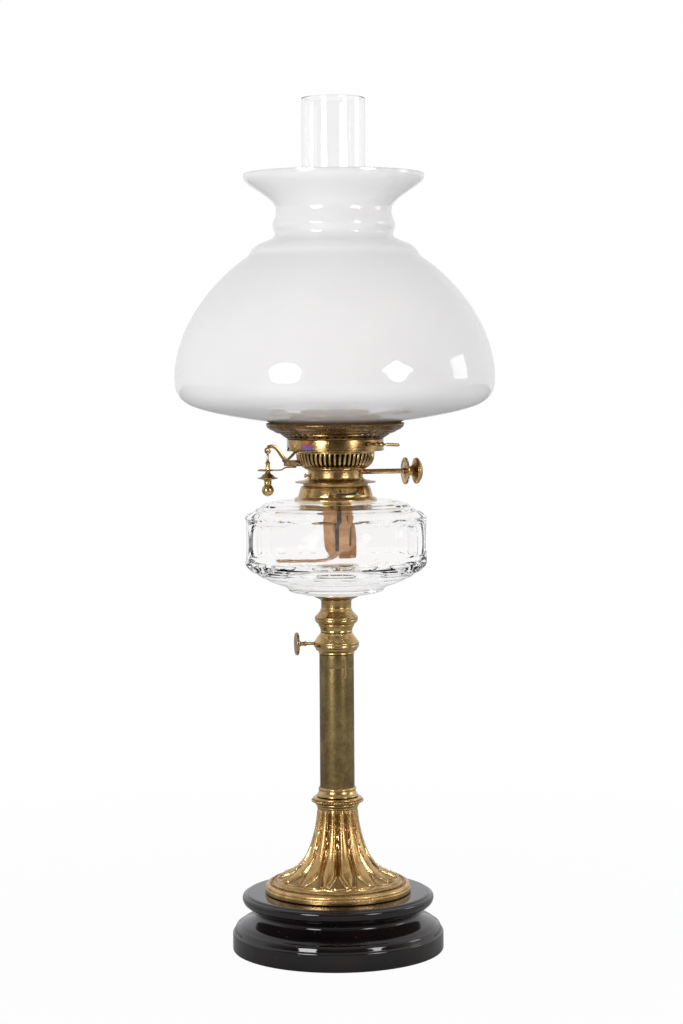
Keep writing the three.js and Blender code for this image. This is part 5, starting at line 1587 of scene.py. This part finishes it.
@dataclass
class Basket:
    """Air basket of ribs with slots between them."""

    rib_count: int = 48
    rib_width: float = 2.5
    bowl: Outline = field(default_factory=lambda: smooth([
        (22.8, 13.6), (24.9, 14.9), (27.4, 17.4), (28.9, 20.4), (29.5, 23.2), (29.7, 26.1),
    ], 3))

    def rib(self) -> Piece:
        """One rib, thick in its middle and round at its ends."""
        def section(share: float) -> Outline:
            """An oval that narrows at both ends."""
            swell = math.sin(math.pi * min(max(share, 0.02), 0.98)) ** 0.3
            width, depth = self.rib_width * (0.62 + 0.38 * share) * swell, 1.5 * swell
            angles = [TURN * i / 8 for i in range(8)]
            return [(width / 2 * math.cos(a), depth / 2 * math.sin(a)) for a in angles]

        lean = [(r, 1.6 * (i / len(self.bowl) - 0.5) ** 2 * 2 - 0.4, z) for i, (r, z) in enumerate(self.bowl)]
        return make_object("rib", bar_along(lean, section, Vector((0, 1, 0))))

    def build(self, shop: Workshop) -> None:
        """Builds the pieces."""
        ribs = shop.ring("air_basket_ribs", self.rib(), self.rib_count, BURNER_BRASS)
        move_mesh(ribs, BURNER_PLACE)
        foot = shop.turned("air_basket_foot_ring", corners([
            (21.4, 12.9), (22.8, 12.75), (23.5, 13.2), (23.4, 13.9), (24.2, 14.3), (24.4, 14.9),
            (23.6, 15.3), (22.0, 15.2), (21.4, 14.6),
        ], 0.25), BURNER_BRASS, 144, place=BURNER_PLACE)
        rim = shop.turned("air_basket_rim", corners([
            (28.6, 25.2), (30.0, 25.2), (30.3, 25.6), (30.3, 26.7), (30.0, 26.9), (28.6, 26.9),
        ], 0.2), BURNER_BRASS, 144, place=BURNER_PLACE)
        inside = smooth([(21.4, 14.2), (23.9, 15.6), (26.1, 18.2), (27.3, 21), (27.9, 24.8)], 3)
        liner = shop.turned("air_basket_liner", shell(inside, 0.5), SOOT, place=BURNER_PLACE)
        for piece in (rim, liner):
            cut_away(piece, arm_notch(shop, 23.2))
        shop.hand_over(ribs, Body.BURNER, Slot.BURNER, "air_basket")
        for piece in (foot, rim, liner):
            shop.hand_over(piece, Body.BURNER, Slot.BURNER)


@dataclass
class Band:
    """Plain hoop over the basket, with a temper patch."""

    outline: Outline = rounded([
        (29.6, 27.1), (36.6, 27.0), (37.3, 27.15), (37.6, 27.6), (37.55, 28.1), (37.2, 28.5),
        (37.25, 29.2, 0.3), (37.3, 35.5), (37.1, 36.0), (36.5, 36.0), (36.4, 35.6), (36.4, 28.1),
        (29.6, 27.9),
    ], 0.3)

    def build(self, shop: Workshop) -> None:
        """Builds the band."""
        band = shop.turned("burner_band_hoop", self.outline, BAND_BRASS, 160, place=BURNER_PLACE)
        hole = shop.turned("bore", [(0, 34), (1.5, 34), (1.5, 40), (0, 40)], SOOT, 24, place=Lever().place())
        cut_away(band, arm_notch(shop, 23), hole)
        shop.hand_over(band, Body.BURNER, Slot.BURNER, "burner_band")


@dataclass
class Winders:
    """Two wick raisers on one line: a hollow shaft with a disc, and a shaft with a domed knob inside it."""

    tube: Outline = rounded([
        (1.4, 2.6), (1.95, 2.6), (1.95, 53.6), (2.5, 53.9), (2.6, 54.6), (2.2, 54.9), (2.15, 57.0),
        (1.4, 57.0),
    ], 0.15)
    disc: Outline = rounded([
        (2.2, 55.05), (4.2, 55.05), (4.6, 55.4), (7.0, 55.55), (9.3, 55.2), (10.2, 55.2), (10.45, 55.6),
        (10.45, 56.5), (10.2, 56.9), (9.3, 56.9), (7.0, 56.5), (4.6, 56.6), (2.2, 56.95),
    ], 0.2)
    rod: Outline = rounded([
        (0, -10.4), (0.9, -10.4), (1.05, -10.2), (1.05, 66.3), (0.9, 66.5), (0, 66.5),
    ], 0.1)
    knob: Outline = rounded([
        (0, 66.6), (1.3, 66.6), (1.3, 57.3), (3.6, 57.3), (3.9, 57.7), (3.5, 58.4, 0.6),
        (3.7, 60.8, 1.2), (5.6, 62.6, 1.2), (8.4, 63.4, 0.8), (9.8, 63.9), (10.15, 64.6), (10.15, 65.6),
        (9.8, 66.2), (9.0, 66.6, 0.5), (7.2, 68.1, 1.0), (4.2, 69.3, 1.0), (0, 69.7),
    ], 0.35)

    def build(self, shop: Workshop) -> None:
        """Builds the pieces."""
        shop.turn_out("front_winder_shaft", self.tube, BURNER_BRASS, Body.FRONT_WINDER, Slot.BURNER,
                      "front_winder_tube", sides=32, place=SPINDLE_PLACE)
        milled = toothed([*self.disc, self.disc[0]], 60, 0.28, 9.4)
        disc = shop.solid("front_winder_milled_disc", milled, BURNER_BRASS, SPINDLE_PLACE)
        shop.hand_over(disc, Body.FRONT_WINDER, Slot.BURNER, "front_winder_disc")
        for name, outline, sides, node in (
            ("rear_winder_rod", self.rod, 24, "rear_winder_shaft"),
            ("rear_winder_domed_knob", self.knob, 72, "rear_winder_knob"),
        ):
            shop.turn_out(name, outline, BURNER_BRASS, Body.REAR_WINDER, Slot.BURNER, node,
                          sides=sides, closed=False, place=SPINDLE_PLACE)


@dataclass
class Lever:
    """Spindle with a cam inside the band and a ribbed end outside, which lifts the gallery."""

    angle: float = -63.0  # in the burner's frame
    height: float = 32.8
    rod: Outline = rounded([
        (0, 33.8), (1.1, 33.8), (1.1, 37.9), (1.9, 38.1), (2.0, 38.9), (1.5, 39.3), (1.1, 39.6),
        (1.1, 46.9), (1.8, 47.3), (2.0, 47.9), (1.8, 48.5), (1.1, 48.9), (1.1, 52.2), (1.9, 52.6),
        (2.0, 53.2), (1.5, 53.9),
        (0.8, 54.6), (0.75, 57.0), *ridges(1.35, 0.5, 57.6, 71.0, 8), (0.8, 71.5), (0, 71.7),
    ], 0.2)

    def upright(self) -> Matrix:
        """Its frame, with the X axis along the spindle."""
        return BURNER_PLACE @ place_at(0, 0, self.height, self.angle)

    def place(self) -> Matrix:
        """Its frame, with the Z axis along the spindle."""
        return self.upright() @ ALONG_X

    def build(self, shop: Workshop) -> None:
        """Builds the lever."""
        bar = shop.turned("lift_lever_rod", self.rod, BURNER_BRASS, 24, closed=False, place=self.place())
        outline = [(34.3 + x, 3.9 + y) for x, y in rounded_box(2.0, 10.0, 0.9, 3)]
        cam = shop.solid("cam", prism(outline, -2.6, 2.6), BURNER_BRASS, self.upright())
        lever = shop.join("lift_lever_spindle", bar, cam)
        shop.hand_over(lever, Body.LEVER, Slot.BURNER, "lift_lever")


@dataclass
class Gallery:
    """Pierced skirt, dish with a rim, slotted dome and springs."""

    hole_count: int = 44
    tooth_count: int = 180

    def build(self, shop: Workshop) -> None:
        """Builds the pieces."""
        line = [(37.3, 0.0), (37.75, 0.75), (38.6, 1.15), (40.6, 2.45), (42.0, 3.1), (42.0, 3.8)]
        pierced = pierced_sector(line, 0.7, TURN / self.hole_count, (2, 3), 0.42)
        template = make_object("skirt_sector", pierced)
        skirt = shop.ring("gallery_skirt_pierced", template, self.hole_count, GALLERY_BRASS, weld=5e-6)
        move_mesh(skirt, GALLERY_PLACE)
        flange = shop.turned("gallery_skirt_flange", corners([
            (31, 0.05), (36.8, 0.05), (36.8, 0.8),
            (31, 0.8)], 0.15), GALLERY_BRASS, 96, place=GALLERY_PLACE)
        dish = shop.turned("gallery_dish_rimmed", corners([
            (26, 4.0), (41.6, 4.0), (42.0, 4.3), (42.8, 4.15), (44.9, 4.4, 0.5), (45.6, 4.9),
            (46.8, 5.3), (47.3, 6.0), (48.8, 6.5, 0.6), (50.3, 7.2, 0.5), (51.0, 7.9), (51.8, 8.3),
            (52.7, 9.3, 0.4), (53.2, 10.6), (53.0, 11.4), (52.3, 11.4), (51.7, 9.7, 0.5), (50.4, 8.5),
            (49.6, 8.0, 0.4), (47.4, 7.0), (46.2, 6.3), (44.6, 5.4), (42.6, 5.0), (26, 5.0),
        ], 0.35), GALLERY_BRASS, 160, place=GALLERY_PLACE)
        tooth = make_object("tooth", dome(0.6, 6, 2), place_at(52.65, 0, 403.4))
        teeth = shop.ring("gallery_serrated_edge", tooth, self.tooth_count, BURNER_BRASS)
        outside, inside = (
            [(r * math.cos(t), 6 + height * math.sin(t)) for t in (TURN / 4 * i / 12 for i in range(12))]
            for r, height in ((25.4, 9.0), (24.6, 8.2))
        )
        outline = [
            (0, 14.2), *inside[::-1], (24.6, 5.25), (28.2, 5.25), (28.4, 5.6),
            (28.2, 5.95), *outside, (0, 15.0),
        ]
        crown = shop.turned("flame_dome_slotted", outline, GALLERY_BRASS, closed=False, place=GALLERY_PLACE)
        self.slot_dome(shop, crown)
        for piece, *nodes in (
            (skirt, "gallery_skirt"), (flange,), (dish, "gallery_dish"), (teeth,), (crown, "flame_dome"),
        ):
            shop.hand_over(piece, Body.GALLERY, Slot.BURNER, *nodes)

    @staticmethod
    def slot_dome(shop: Workshop, crown: Piece) -> None:
        """Cuts the two flame slots, in the burner's directions."""
        place = GALLERY_PLACE @ BURNER_PLACE.to_3x3().to_4x4()
        outlines = [[(x, y + offset) for x, y in rounded_box(30, 5.2, 0.3)] for offset in (-7.2, 7.2)]
        cut_away(crown, *[shop.solid("flame_slot", prism(line, 6.0, 20.0), SOOT, place) for line in outlines])


@dataclass
class Extinguisher:
    """Snuffer: bracket, arm, hanging pull and the wire that guides it."""

    def build(self, shop: Workshop) -> None:
        """Builds the pieces."""
        def strap(points: Sequence[Sequence[float]], wide: float, deep: float) -> Mesh:
            """A flat strap with rounded edges along smooth points in the XZ plane."""
            line = [(x, 0.0, z) for x, z in smooth(points, 5)]
            return bar_along(line, lambda _: rounded_box(deep, wide, 0.35), Vector((0, 1, 0)))

        outer = strap([(-41.0, 21.8), (-43.0, 24.4), (-46.0, 28.7), (-49.8, 31.0), (-53.6, 30.2)], 2.8, 2.0)
        inner = strap([
            (-38.1, 20.8), (-36.4, 21.7), (-33.4, 24.6), (-30.6, 27.6), (-28.3, 28.9), (-22.2, 28.9),
        ], 1.9, 2.0)
        across = BURNER_PLACE @ place_at(-39.9, 0, 20.4, 90, "X")
        boss = shop.turned("boss", corners([(1.25, -1.0), (2.3, -1.0), (2.3, 1.0), (1.25, 1.0)], 0.15),
                           BURNER_BRASS, 32, place=across)
        at_eye = BURNER_PLACE @ place_at(-53.5, 0, 27.8, 90, "X")
        eye = shop.turned("eye", corners([(1.3, -1.0), (2.5, -1.0), (2.65, 0), (2.5, 1.0), (1.3, 1.0)], 0.2),
                          BURNER_BRASS, 32, place=at_eye)
        arms = shop.solid("arms", merged((outer, inner)), BURNER_BRASS, BURNER_PLACE)
        arm = shop.join("extinguisher_arm_hook", arms, boss, eye)
        shop.hand_over(arm, Body.ARM, Slot.BURNER, "extinguisher_arm")
        cheeks = [block((-40.4, y - 0.42, 15.6), (-29.2, y + 0.42, 20.2)) for y in (-1.9, 1.9)]
        floor = block((-38.8, -1.9, 15.4), (-27.2, 1.9, 16.3))
        bracket = shop.solid("bracket", merged([*cheeks, floor]), BURNER_BRASS, BURNER_PLACE)
        head = corners([(0, 2.2), (1.4, 2.2), (1.6, 2.4), (1.5, 3.0), (0.9, 3.5), (0, 3.6)], 0.2)
        place = BURNER_PLACE @ place_at(-30.8, 0, 17.9, 90, "X")
        screw = shop.turned("head", head, BURNER_BRASS, 24, closed=False, place=place)
        bracket = shop.join("extinguisher_bracket_cheeks", bracket, screw)
        shop.hand_over(bracket, Body.BURNER, Slot.BURNER, "extinguisher_bracket")
        self.guide(shop)
        self.pull(shop)

    @staticmethod
    def guide(shop: Workshop) -> None:
        """Builds the wire from the bracket round the pull."""
        angles = [TURN * 0.9 * i / 28 for i in range(29)]
        loop = [(-55 + 6 * math.cos(a), 6 * math.sin(a), 12.7) for a in angles]
        points = smooth([
            (-31, 0, 14.75), (-36, 0, 14.7), (-40.2, 0, 14.3), (-42.4, 0, 12.9), (-45.5, 0, 12.6),
        ], 4)
        wire = shop.wire("pull_guide_wire", [*points, *loop, (-56.5, -6.2, 13.0), (-61.5, -7.4, 13.6)], 0.55,
                         BURNER_BRASS, 8, BURNER_PLACE)
        shop.hand_over(wire, Body.BURNER, Slot.BURNER, "pull_guide")

    @staticmethod
    def pull(shop: Workshop) -> None:
        """Builds the hanging pull."""
        angles = [TURN / 2 * i / 14 for i in range(11)]
        ball = [(4.65 * math.sin(a), -2.55 - 4.65 * math.cos(a)) for a in angles]
        outline = [
            *ball, *corners([
                (2.6, 1.6), (2.9, 2.6, 0.6), (2.75, 4.2, 0.5), (3.2, 5.2), (5.4, 5.9, 0.6), (7.6, 6.3),
                (7.9, 6.65), (7.5, 7.0), (5.2, 7.9, 0.9), (3.9, 9.4, 0.8), (2.6, 10.1), (2.0, 10.9, 0.5),
                (1.7, 14.0, 0.8), (1.5, 17.4), (1.9, 17.8), (1.9, 18.5), (1.3, 19.2), (0.9, 20.4),
                (0.8, 24.2), (0, 24.4),
            ], 0.35),
        ]
        place = BURNER_PLACE @ place_at(-53.5, 0, 0)
        body = shop.turned("pull_body", outline, BURNER_BRASS, 40, closed=False, place=place)
        ring_place = place @ place_at(0, 0, 25.85) @ ALONG_X
        circle = [(1.95 + 0.5 * math.cos(TURN * i / 10), 0.5 * math.sin(TURN * i / 10)) for i in range(10)]
        ring = shop.turned("pull_ring", circle, BURNER_BRASS, 32, place=ring_place)
        whole = shop.join("extinguisher_pull_turned", body, ring)
        shop.hand_over(whole, Body.PULL, Slot.BURNER, "extinguisher_pull")


@dataclass
class Wick:
    """Flat woven wick that hangs in the oil, with a frayed tail."""

    name: str
    node: str
    body: Body
    stations: list[tuple[float, ...]]  # x, y, z, width, quarter turns
    fray: int
    seed: int
    steps: int = 8  # stretches between two stations
    half_ring: int = 8  # corners on each face of the band

    def spot(self, k: int) -> tuple[int, float]:
        """Face of the band, 1 or -1, and place across it, from -1 to 1, of a ring's corner."""
        return 1 if k < self.half_ring else -1, (k % self.half_ring) / (self.half_ring - 1) * 2 - 1

    @staticmethod
    def across(quarter: float) -> Vector:
        """Direction across the band after some quarter turns."""
        return Vector((math.cos(quarter * TURN / 4), math.sin(quarter * TURN / 4), 0))

    def build(self, shop: Workshop) -> None:
        """Builds the wick with its weave coordinates."""
        line = smooth(self.stations, self.steps)
        noise = random.Random(self.seed)
        rings, along = [], [0.0]
        for i, (x, y, z, width, quarter) in enumerate(line):
            here, before = Vector((x, y, z)), Vector(line[max(i - 1, 0)][:3])
            after = Vector(line[min(i + 1, len(line) - 1)][:3])
            tangent = (after - before).normalized()
            along.append(along[-1] + (here - before).length)
            across = self.across(quarter)
            across = (across - tangent * across.dot(tangent)).normalized()
            normal = tangent.cross(across)
            rough = 0.0 if z > -40 else 0.45 if z > -54 else 0.9
            ring = []
            for side, share in map(self.spot, range(self.half_ring * 2)):
                edge = math.sqrt(max(0.0, 1 - abs(share) ** 6))
                thick = side * (0.35 + 0.7 * edge) + noise.uniform(-0.6 * rough, rough)
                ring.append(here + across * (share * side * width / 2) + normal * thick)
            rings.append(ring)
        piece = make_object(self.name, loft(rings), BURNER_PLACE)
        piece.data.materials.append(shop.paint(WICK_COTTON))
        layer = piece.data.uv_layers.new(name="weave")
        for loop in piece.data.loops:
            row, k = divmod(loop.vertex_index, self.half_ring * 2)
            side, share = self.spot(k)
            layer.data[loop.index].uv = (share * side * line[row][3] / 2 * MM, along[row + 1] * MM)
        tidy_mesh(piece, crease=math.radians(70))
        threads = []
        for _ in range(self.fray):
            x, y, z, width, quarter = line[int(noise.uniform(0.62, 0.999) * len(line))]
            start = Vector((x, y, z)) + self.across(quarter) * noise.uniform(-0.5, 0.5) * width
            step = Vector((noise.uniform(-2.2, 1.2), noise.uniform(-1.6, 1.6), noise.uniform(-1.2, 1.6)))
            points = [start, start + step, start + step * 1.7 + Vector((0, 0, noise.uniform(-1, 1)))]
            threads.append(shop.wire("thread", points, 0.32, WICK_COTTON, 5, BURNER_PLACE))
        shop.hand_over(shop.join(self.name, piece, *threads), self.body, Slot.COTTON, self.node)


FRONT_WICK = Wick("front_wick_woven", "front_wick", Body.FRONT_WICK, [
    (0, -7.2, 42.0, 27.4, 0), (0, -7.2, 15, 27.4, 0), (0, -7.2, -8.6, 27.4, 0),
    (-0.8, -7.2, -13.5, 24.0, 0), (-2.2, -7.25, -22, 19.6, 0), (-2.6, -7.6, -38, 17.8, 0),
    (-3.0, -7.9, -49, 16.6, 0.12), (-7.5, -8.6, -56.8, 14.5, 0.7), (-18, -9.4, -58.8, 12.5, 1),
    (-34, -9.0, -58.6, 12.0, 1), (-50, -8.6, -58.0, 13.0, 1),
], 26, 5)
REAR_WICK = Wick("rear_wick_woven", "rear_wick", Body.REAR_WICK, [
    (0, 7.2, 42.0, 27.4, 0), (0, 7.2, 15, 27.4, 0), (0, 7.2, -8.6, 27.4, 0), (1.2, 7.1, -14, 26.0, 0),
    (4.6, 6.4, -24, 21.0, 0), (8.0, 4.8, -38, 16.0, 0), (9.6, 2.6, -50, 12.0, 0),
    (10.2, 0.6, -58.0, 8.5, 0),
], 8, 9)


@dataclass
class WickStrips:
    """Dark metal strips that hang from the wick tubes."""

    def build(self, shop: Workshop) -> None:
        """Builds both strips."""
        front = block((-1.4, -9.9, -50), (2.0, -9.35, -8.4))
        rear = block((6.6, -1.2, -46), (9.6, -0.65, -8.8))
        strips = shop.solid("wick_tube_strips", merged((front, rear)), TUBE_METAL, BURNER_PLACE)
        shop.hand_over(strips, Body.BURNER, Slot.BURNER)


@dataclass
class Chimney:
    """Clear glass chimney."""

    wall: float = 2.0
    outer: Outline = field(default_factory=lambda: [
        (31.75, 397.12), (31.75, 400), (31.75, 408),
        *smooth([
            (31.75, 414), (32.2, 420), (33.7, 430), (35.1, 441), (34.6, 455), (32.9, 472), (30.0, 492),
            (26.9, 514), (25.2, 530), (24.6, 545),
        ], 7),
        (24.6, 570), (24.6, 600), (24.6, 630), (24.6, 652.5), (24.6, 654.3),
    ])

    def build(self, shop: Workshop) -> None:
        """Builds the chimney."""
        outline = shell(self.outer, self.wall)
        shop.turn_out("chimney_glass_tube", outline, CHIMNEY_GLASS, Body.CHIMNEY, Slot.CLEAR, "chimney",
                      sides=128)


@dataclass
class Shade:
    """White opal glass shade with a stepped neck and a flared mouth."""

    wall: float = 2.6
    outer: Outline = field(default_factory=lambda: [
        (50.3, 401.07), (50.3, 402.6),
        *smooth([
            (50.6, 404.3), (53.5, 405.4), (63.1, 406.6), (80.9, 409.6), (96.3, 412.9), (109.5, 417.1),
            (116.6, 421.4), (120.9, 426.5), (123.0, 433), (123.25, 440), (122.9, 447), (121.7, 454.2),
            (119.4, 463.5), (116.2, 472.7), (111.9, 481.9), (106.5, 491.2), (100.1, 500.4),
            (92.4, 509.7), (83.5, 518.9), (77.8, 523.8), (72.6, 527.9), (67.6, 531.6),
        ], 4),
        *corners([
            (66.6, 532.4), (65.0, 534.2, 1.0), (64.4, 536.2, 1.0), (63.0, 537.9, 1.2),
            (60.8, 539.9, 1.5), (57.6, 541.9, 1.5), (51.6, 544.2, 1.5), (46.9, 546.4, 1.2),
            (45.4, 549.0, 1.2), (45.9, 551.6, 1.0), (47.2, 554.6, 1.4), (47.3, 557.6, 1.4),
            (46.0, 560.2, 1.2), (45.1, 563.2, 1.4), (44.5, 566.6, 1.6),
        ], 0.8)[:-1],
        *smooth([
            (44.5, 566.6), (44.9, 570.2), (47.8, 574.6), (52.9, 579.0), (60.0, 583.7), (66.4, 588.2),
            (69.3, 591.6), (69.9, 595.9),
        ], 5),
    ])

    def build(self, shop: Workshop) -> None:
        """Builds the shade."""
        piece = shop.turned("shade_opal", shell(self.outer, self.wall), OPAL, 192)
        piece.data.set_sharp_from_angle(angle=math.radians(60))
        shop.hand_over(piece, Body.SHADE, Slot.OPAL, "shade")


@dataclass
class Hardware:
    """CAD nodes whose shape stays, with their finish."""

    finishes: dict[str, Finish] = field(default_factory=lambda: {
        "tie_bolt": STEEL, "base_washer": STEEL, "base_nut": STEEL,
        "front_wick_tube": TUBE_METAL, "rear_wick_tube": TUBE_METAL, "extinguisher_sleeves": TUBE_METAL,
    })

    def build(self, shop: Workshop) -> None:
        """Paints the nodes that nothing stands for, with burner brass where no finish is given."""
        for name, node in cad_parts.items():
            if node.hide_render:
                continue
            node.data.materials.clear()
            node.data.materials.append(shop.paint(self.finishes.get(name, BURNER_BRASS)))
            LOG.info("%s keeps its CAD shape", name)


class LightShape(Enum):
    """Shapes of the lamps."""

    ROUND = "DISK"
    SQUARE = "SQUARE"


@dataclass
class Lamp:
    """One soft lamp round the object."""

    name: str
    direction: tuple[float, float, float]
    shape: LightShape
    size: float
    power: float
    roll: float = 0.0
    distance: float = 1.5

    def build(self, target: Vector) -> None:
        """Adds the lamp, aimed at the target."""
        data = bpy.data.lights.new(self.name, "AREA")
        data.shape, data.size, data.energy = self.shape.value, self.size, self.power
        towards = Vector(self.direction).normalized()
        aim = towards.to_track_quat("Z", "Y").to_matrix().to_4x4()
        made = add_object(self.name, data)
        roll = place_at(0, 0, 0, self.roll)
        made.matrix_world = Matrix.Translation(target + towards * self.distance) @ aim @ roll


@dataclass
class Studio:
    """White floor, surroundings, lamps and the camera."""

    camera_place: tuple[float, float, float] = (0.0052, -1.887, 0.450)
    camera_roll: float = -0.36
    camera_drop: float = -0.1455  # share of the frame's height that the view sits below the level line
    lens: float = 86.13
    sensor: float = 36.0
    floor_size: float = 6.0
    floor_glow: float = 0.97
    floor_grey: float = 0.56  # of the floor as a surface that takes light
    glow_reach: tuple[float, float] = (0.25, 0.9)  # metres over which the floor's glow grows to full white
    clear_share: float = 0.75  # how far light through glass comes from plain white surroundings
    inner_share: float = 0.55  # the same for light mirrored inside glass
    above: Colour = (0.7, 0.7, 0.7, 1)
    surroundings: tuple[tuple[float, Colour], ...] = (  # from the camera's side to the far side
        (0.0, (0.085, 0.055, 0.04, 1)), (0.2, (0.11, 0.08, 0.06, 1)), (0.38, (0.38, 0.36, 0.34, 1)),
        (0.52, (0.9, 0.9, 0.9, 1)), (1.0, (0.85, 0.84, 0.87, 1)),
    )
    target: tuple[float, float, float] = (0.0, 0.0, 0.45)
    lamps: list[Lamp] = field(default_factory=lambda: [
        Lamp("soft_box_left", (-0.556, -0.832, 0.095), LightShape.ROUND, 0.58, 11.5),
        Lamp("soft_box_right", (0.688, -0.73, 0.11), LightShape.SQUARE, 0.44, 6.5, 45.0),
        Lamp("soft_box_side", (0.98, 0.12, 0.12), LightShape.SQUARE, 0.40, 1.5),
    ])

    def camera(self) -> None:
        """Adds the camera."""
        data = bpy.data.cameras.new("camera")
        data.lens, data.sensor_width, data.sensor_fit = self.lens, self.sensor, "AUTO"
        data.shift_y = self.camera_drop
        made = add_object("camera", data)
        tilt = Matrix.Rotation(TURN / 4, 4, "X")
        made.matrix_world = Matrix.Translation(self.camera_place) @ tilt @ place_at(0, 0, 0, self.camera_roll)
        bpy.context.scene.camera = made

    def floor(self) -> None:
        """Adds the floor: white, with the object's soft shadow."""
        half = self.floor_size / 2 / MM
        points = [Vector((x, y, 0)) for x, y in ((-half, -half), (half, -half), (half, half), (-half, half))]
        plane = make_object("floor", (points, [(0, 1, 2, 3)]))
        made = bpy.data.materials.new("floor_white")
        wiring = start_tree(made)
        path = wiring.node("ShaderNodeLightPath").outputs
        seen = wiring.maths("MAXIMUM", path["Is Camera Ray"], path["Is Transmission Ray"])
        place = wiring.node("ShaderNodeTexCoord").outputs["Object"]
        far = wiring.vector("LENGTH", place).outputs["Value"]
        share = wiring.maths("MULTIPLY", seen, wiring.spread(far, *self.glow_reach, self.floor_glow, 1.0))
        diffuse = wiring.node("ShaderNodeBsdfDiffuse", {"Color": (*[self.floor_grey] * 3, 1)})
        glow = wiring.node("ShaderNodeEmission", {"Color": (1, 1, 1, 1), "Strength": 1.0})
        both = wiring.node("ShaderNodeMixShader", {0: share, 1: diffuse, 2: glow})
        wiring.node("ShaderNodeOutputMaterial", {"Surface": both})
        plane.data.materials.append(made)

    def world(self) -> None:
        """Sets the surroundings: white for the camera, and shaded by direction for all else."""
        world = bpy.data.worlds.new("studio")
        bpy.context.scene.world = world
        wiring = start_tree(world)
        direction = wiring.node("ShaderNodeTexCoord").outputs["Generated"]
        split = wiring.node("ShaderNodeSeparateXYZ", {0: direction}).outputs
        sides = wiring.ramp(wiring.spread(split["Y"], -1, 1), self.surroundings)
        around = wiring.mix(wiring.spread(split["Z"], 0.3, 1.0), sides, self.above)
        path = wiring.node("ShaderNodeLightPath").outputs
        through = wiring.maths("MULTIPLY", path["Is Transmission Ray"], self.clear_share)
        inside = wiring.maths("MULTIPLY", path["Is Singular Ray"], self.inner_share)
        direct = wiring.maths("MAXIMUM", path["Is Camera Ray"], wiring.maths("MAXIMUM", through, inside))
        colour = wiring.mix(direct, around, (1, 1, 1, 1))
        background = wiring.node("ShaderNodeBackground", {"Color": colour, "Strength": 1.0})
        wiring.node("ShaderNodeOutputWorld", {"Surface": background})

    def build(self) -> None:
        """Sets the scene."""
        self.camera()
        self.floor()
        self.world()
        for lamp in self.lamps:
            lamp.build(Vector(self.target))
        bpy.context.scene.view_settings.view_transform = "Standard"


def main() -> None:
    """Builds the lamp's pieces in order."""
    logging.basicConfig(level=logging.INFO, format="%(message)s")
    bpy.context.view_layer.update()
    Studio().build()
    shop = Workshop()
    for part in (
        Plinth(), Foot(), Column(), Clamp(), Stem(), Fount(), Collar(), BurnerBase(), Basket(), Band(),
        Winders(), Lever(), Extinguisher(), FRONT_WICK, REAR_WICK, WickStrips(), Gallery(), Chimney(),
        Shade(),
    ):
        LOG.info("building %s", type(part).__name__)
        part.build(shop)
    Hardware().build(shop)


if __name__ == "__main__":
    main()
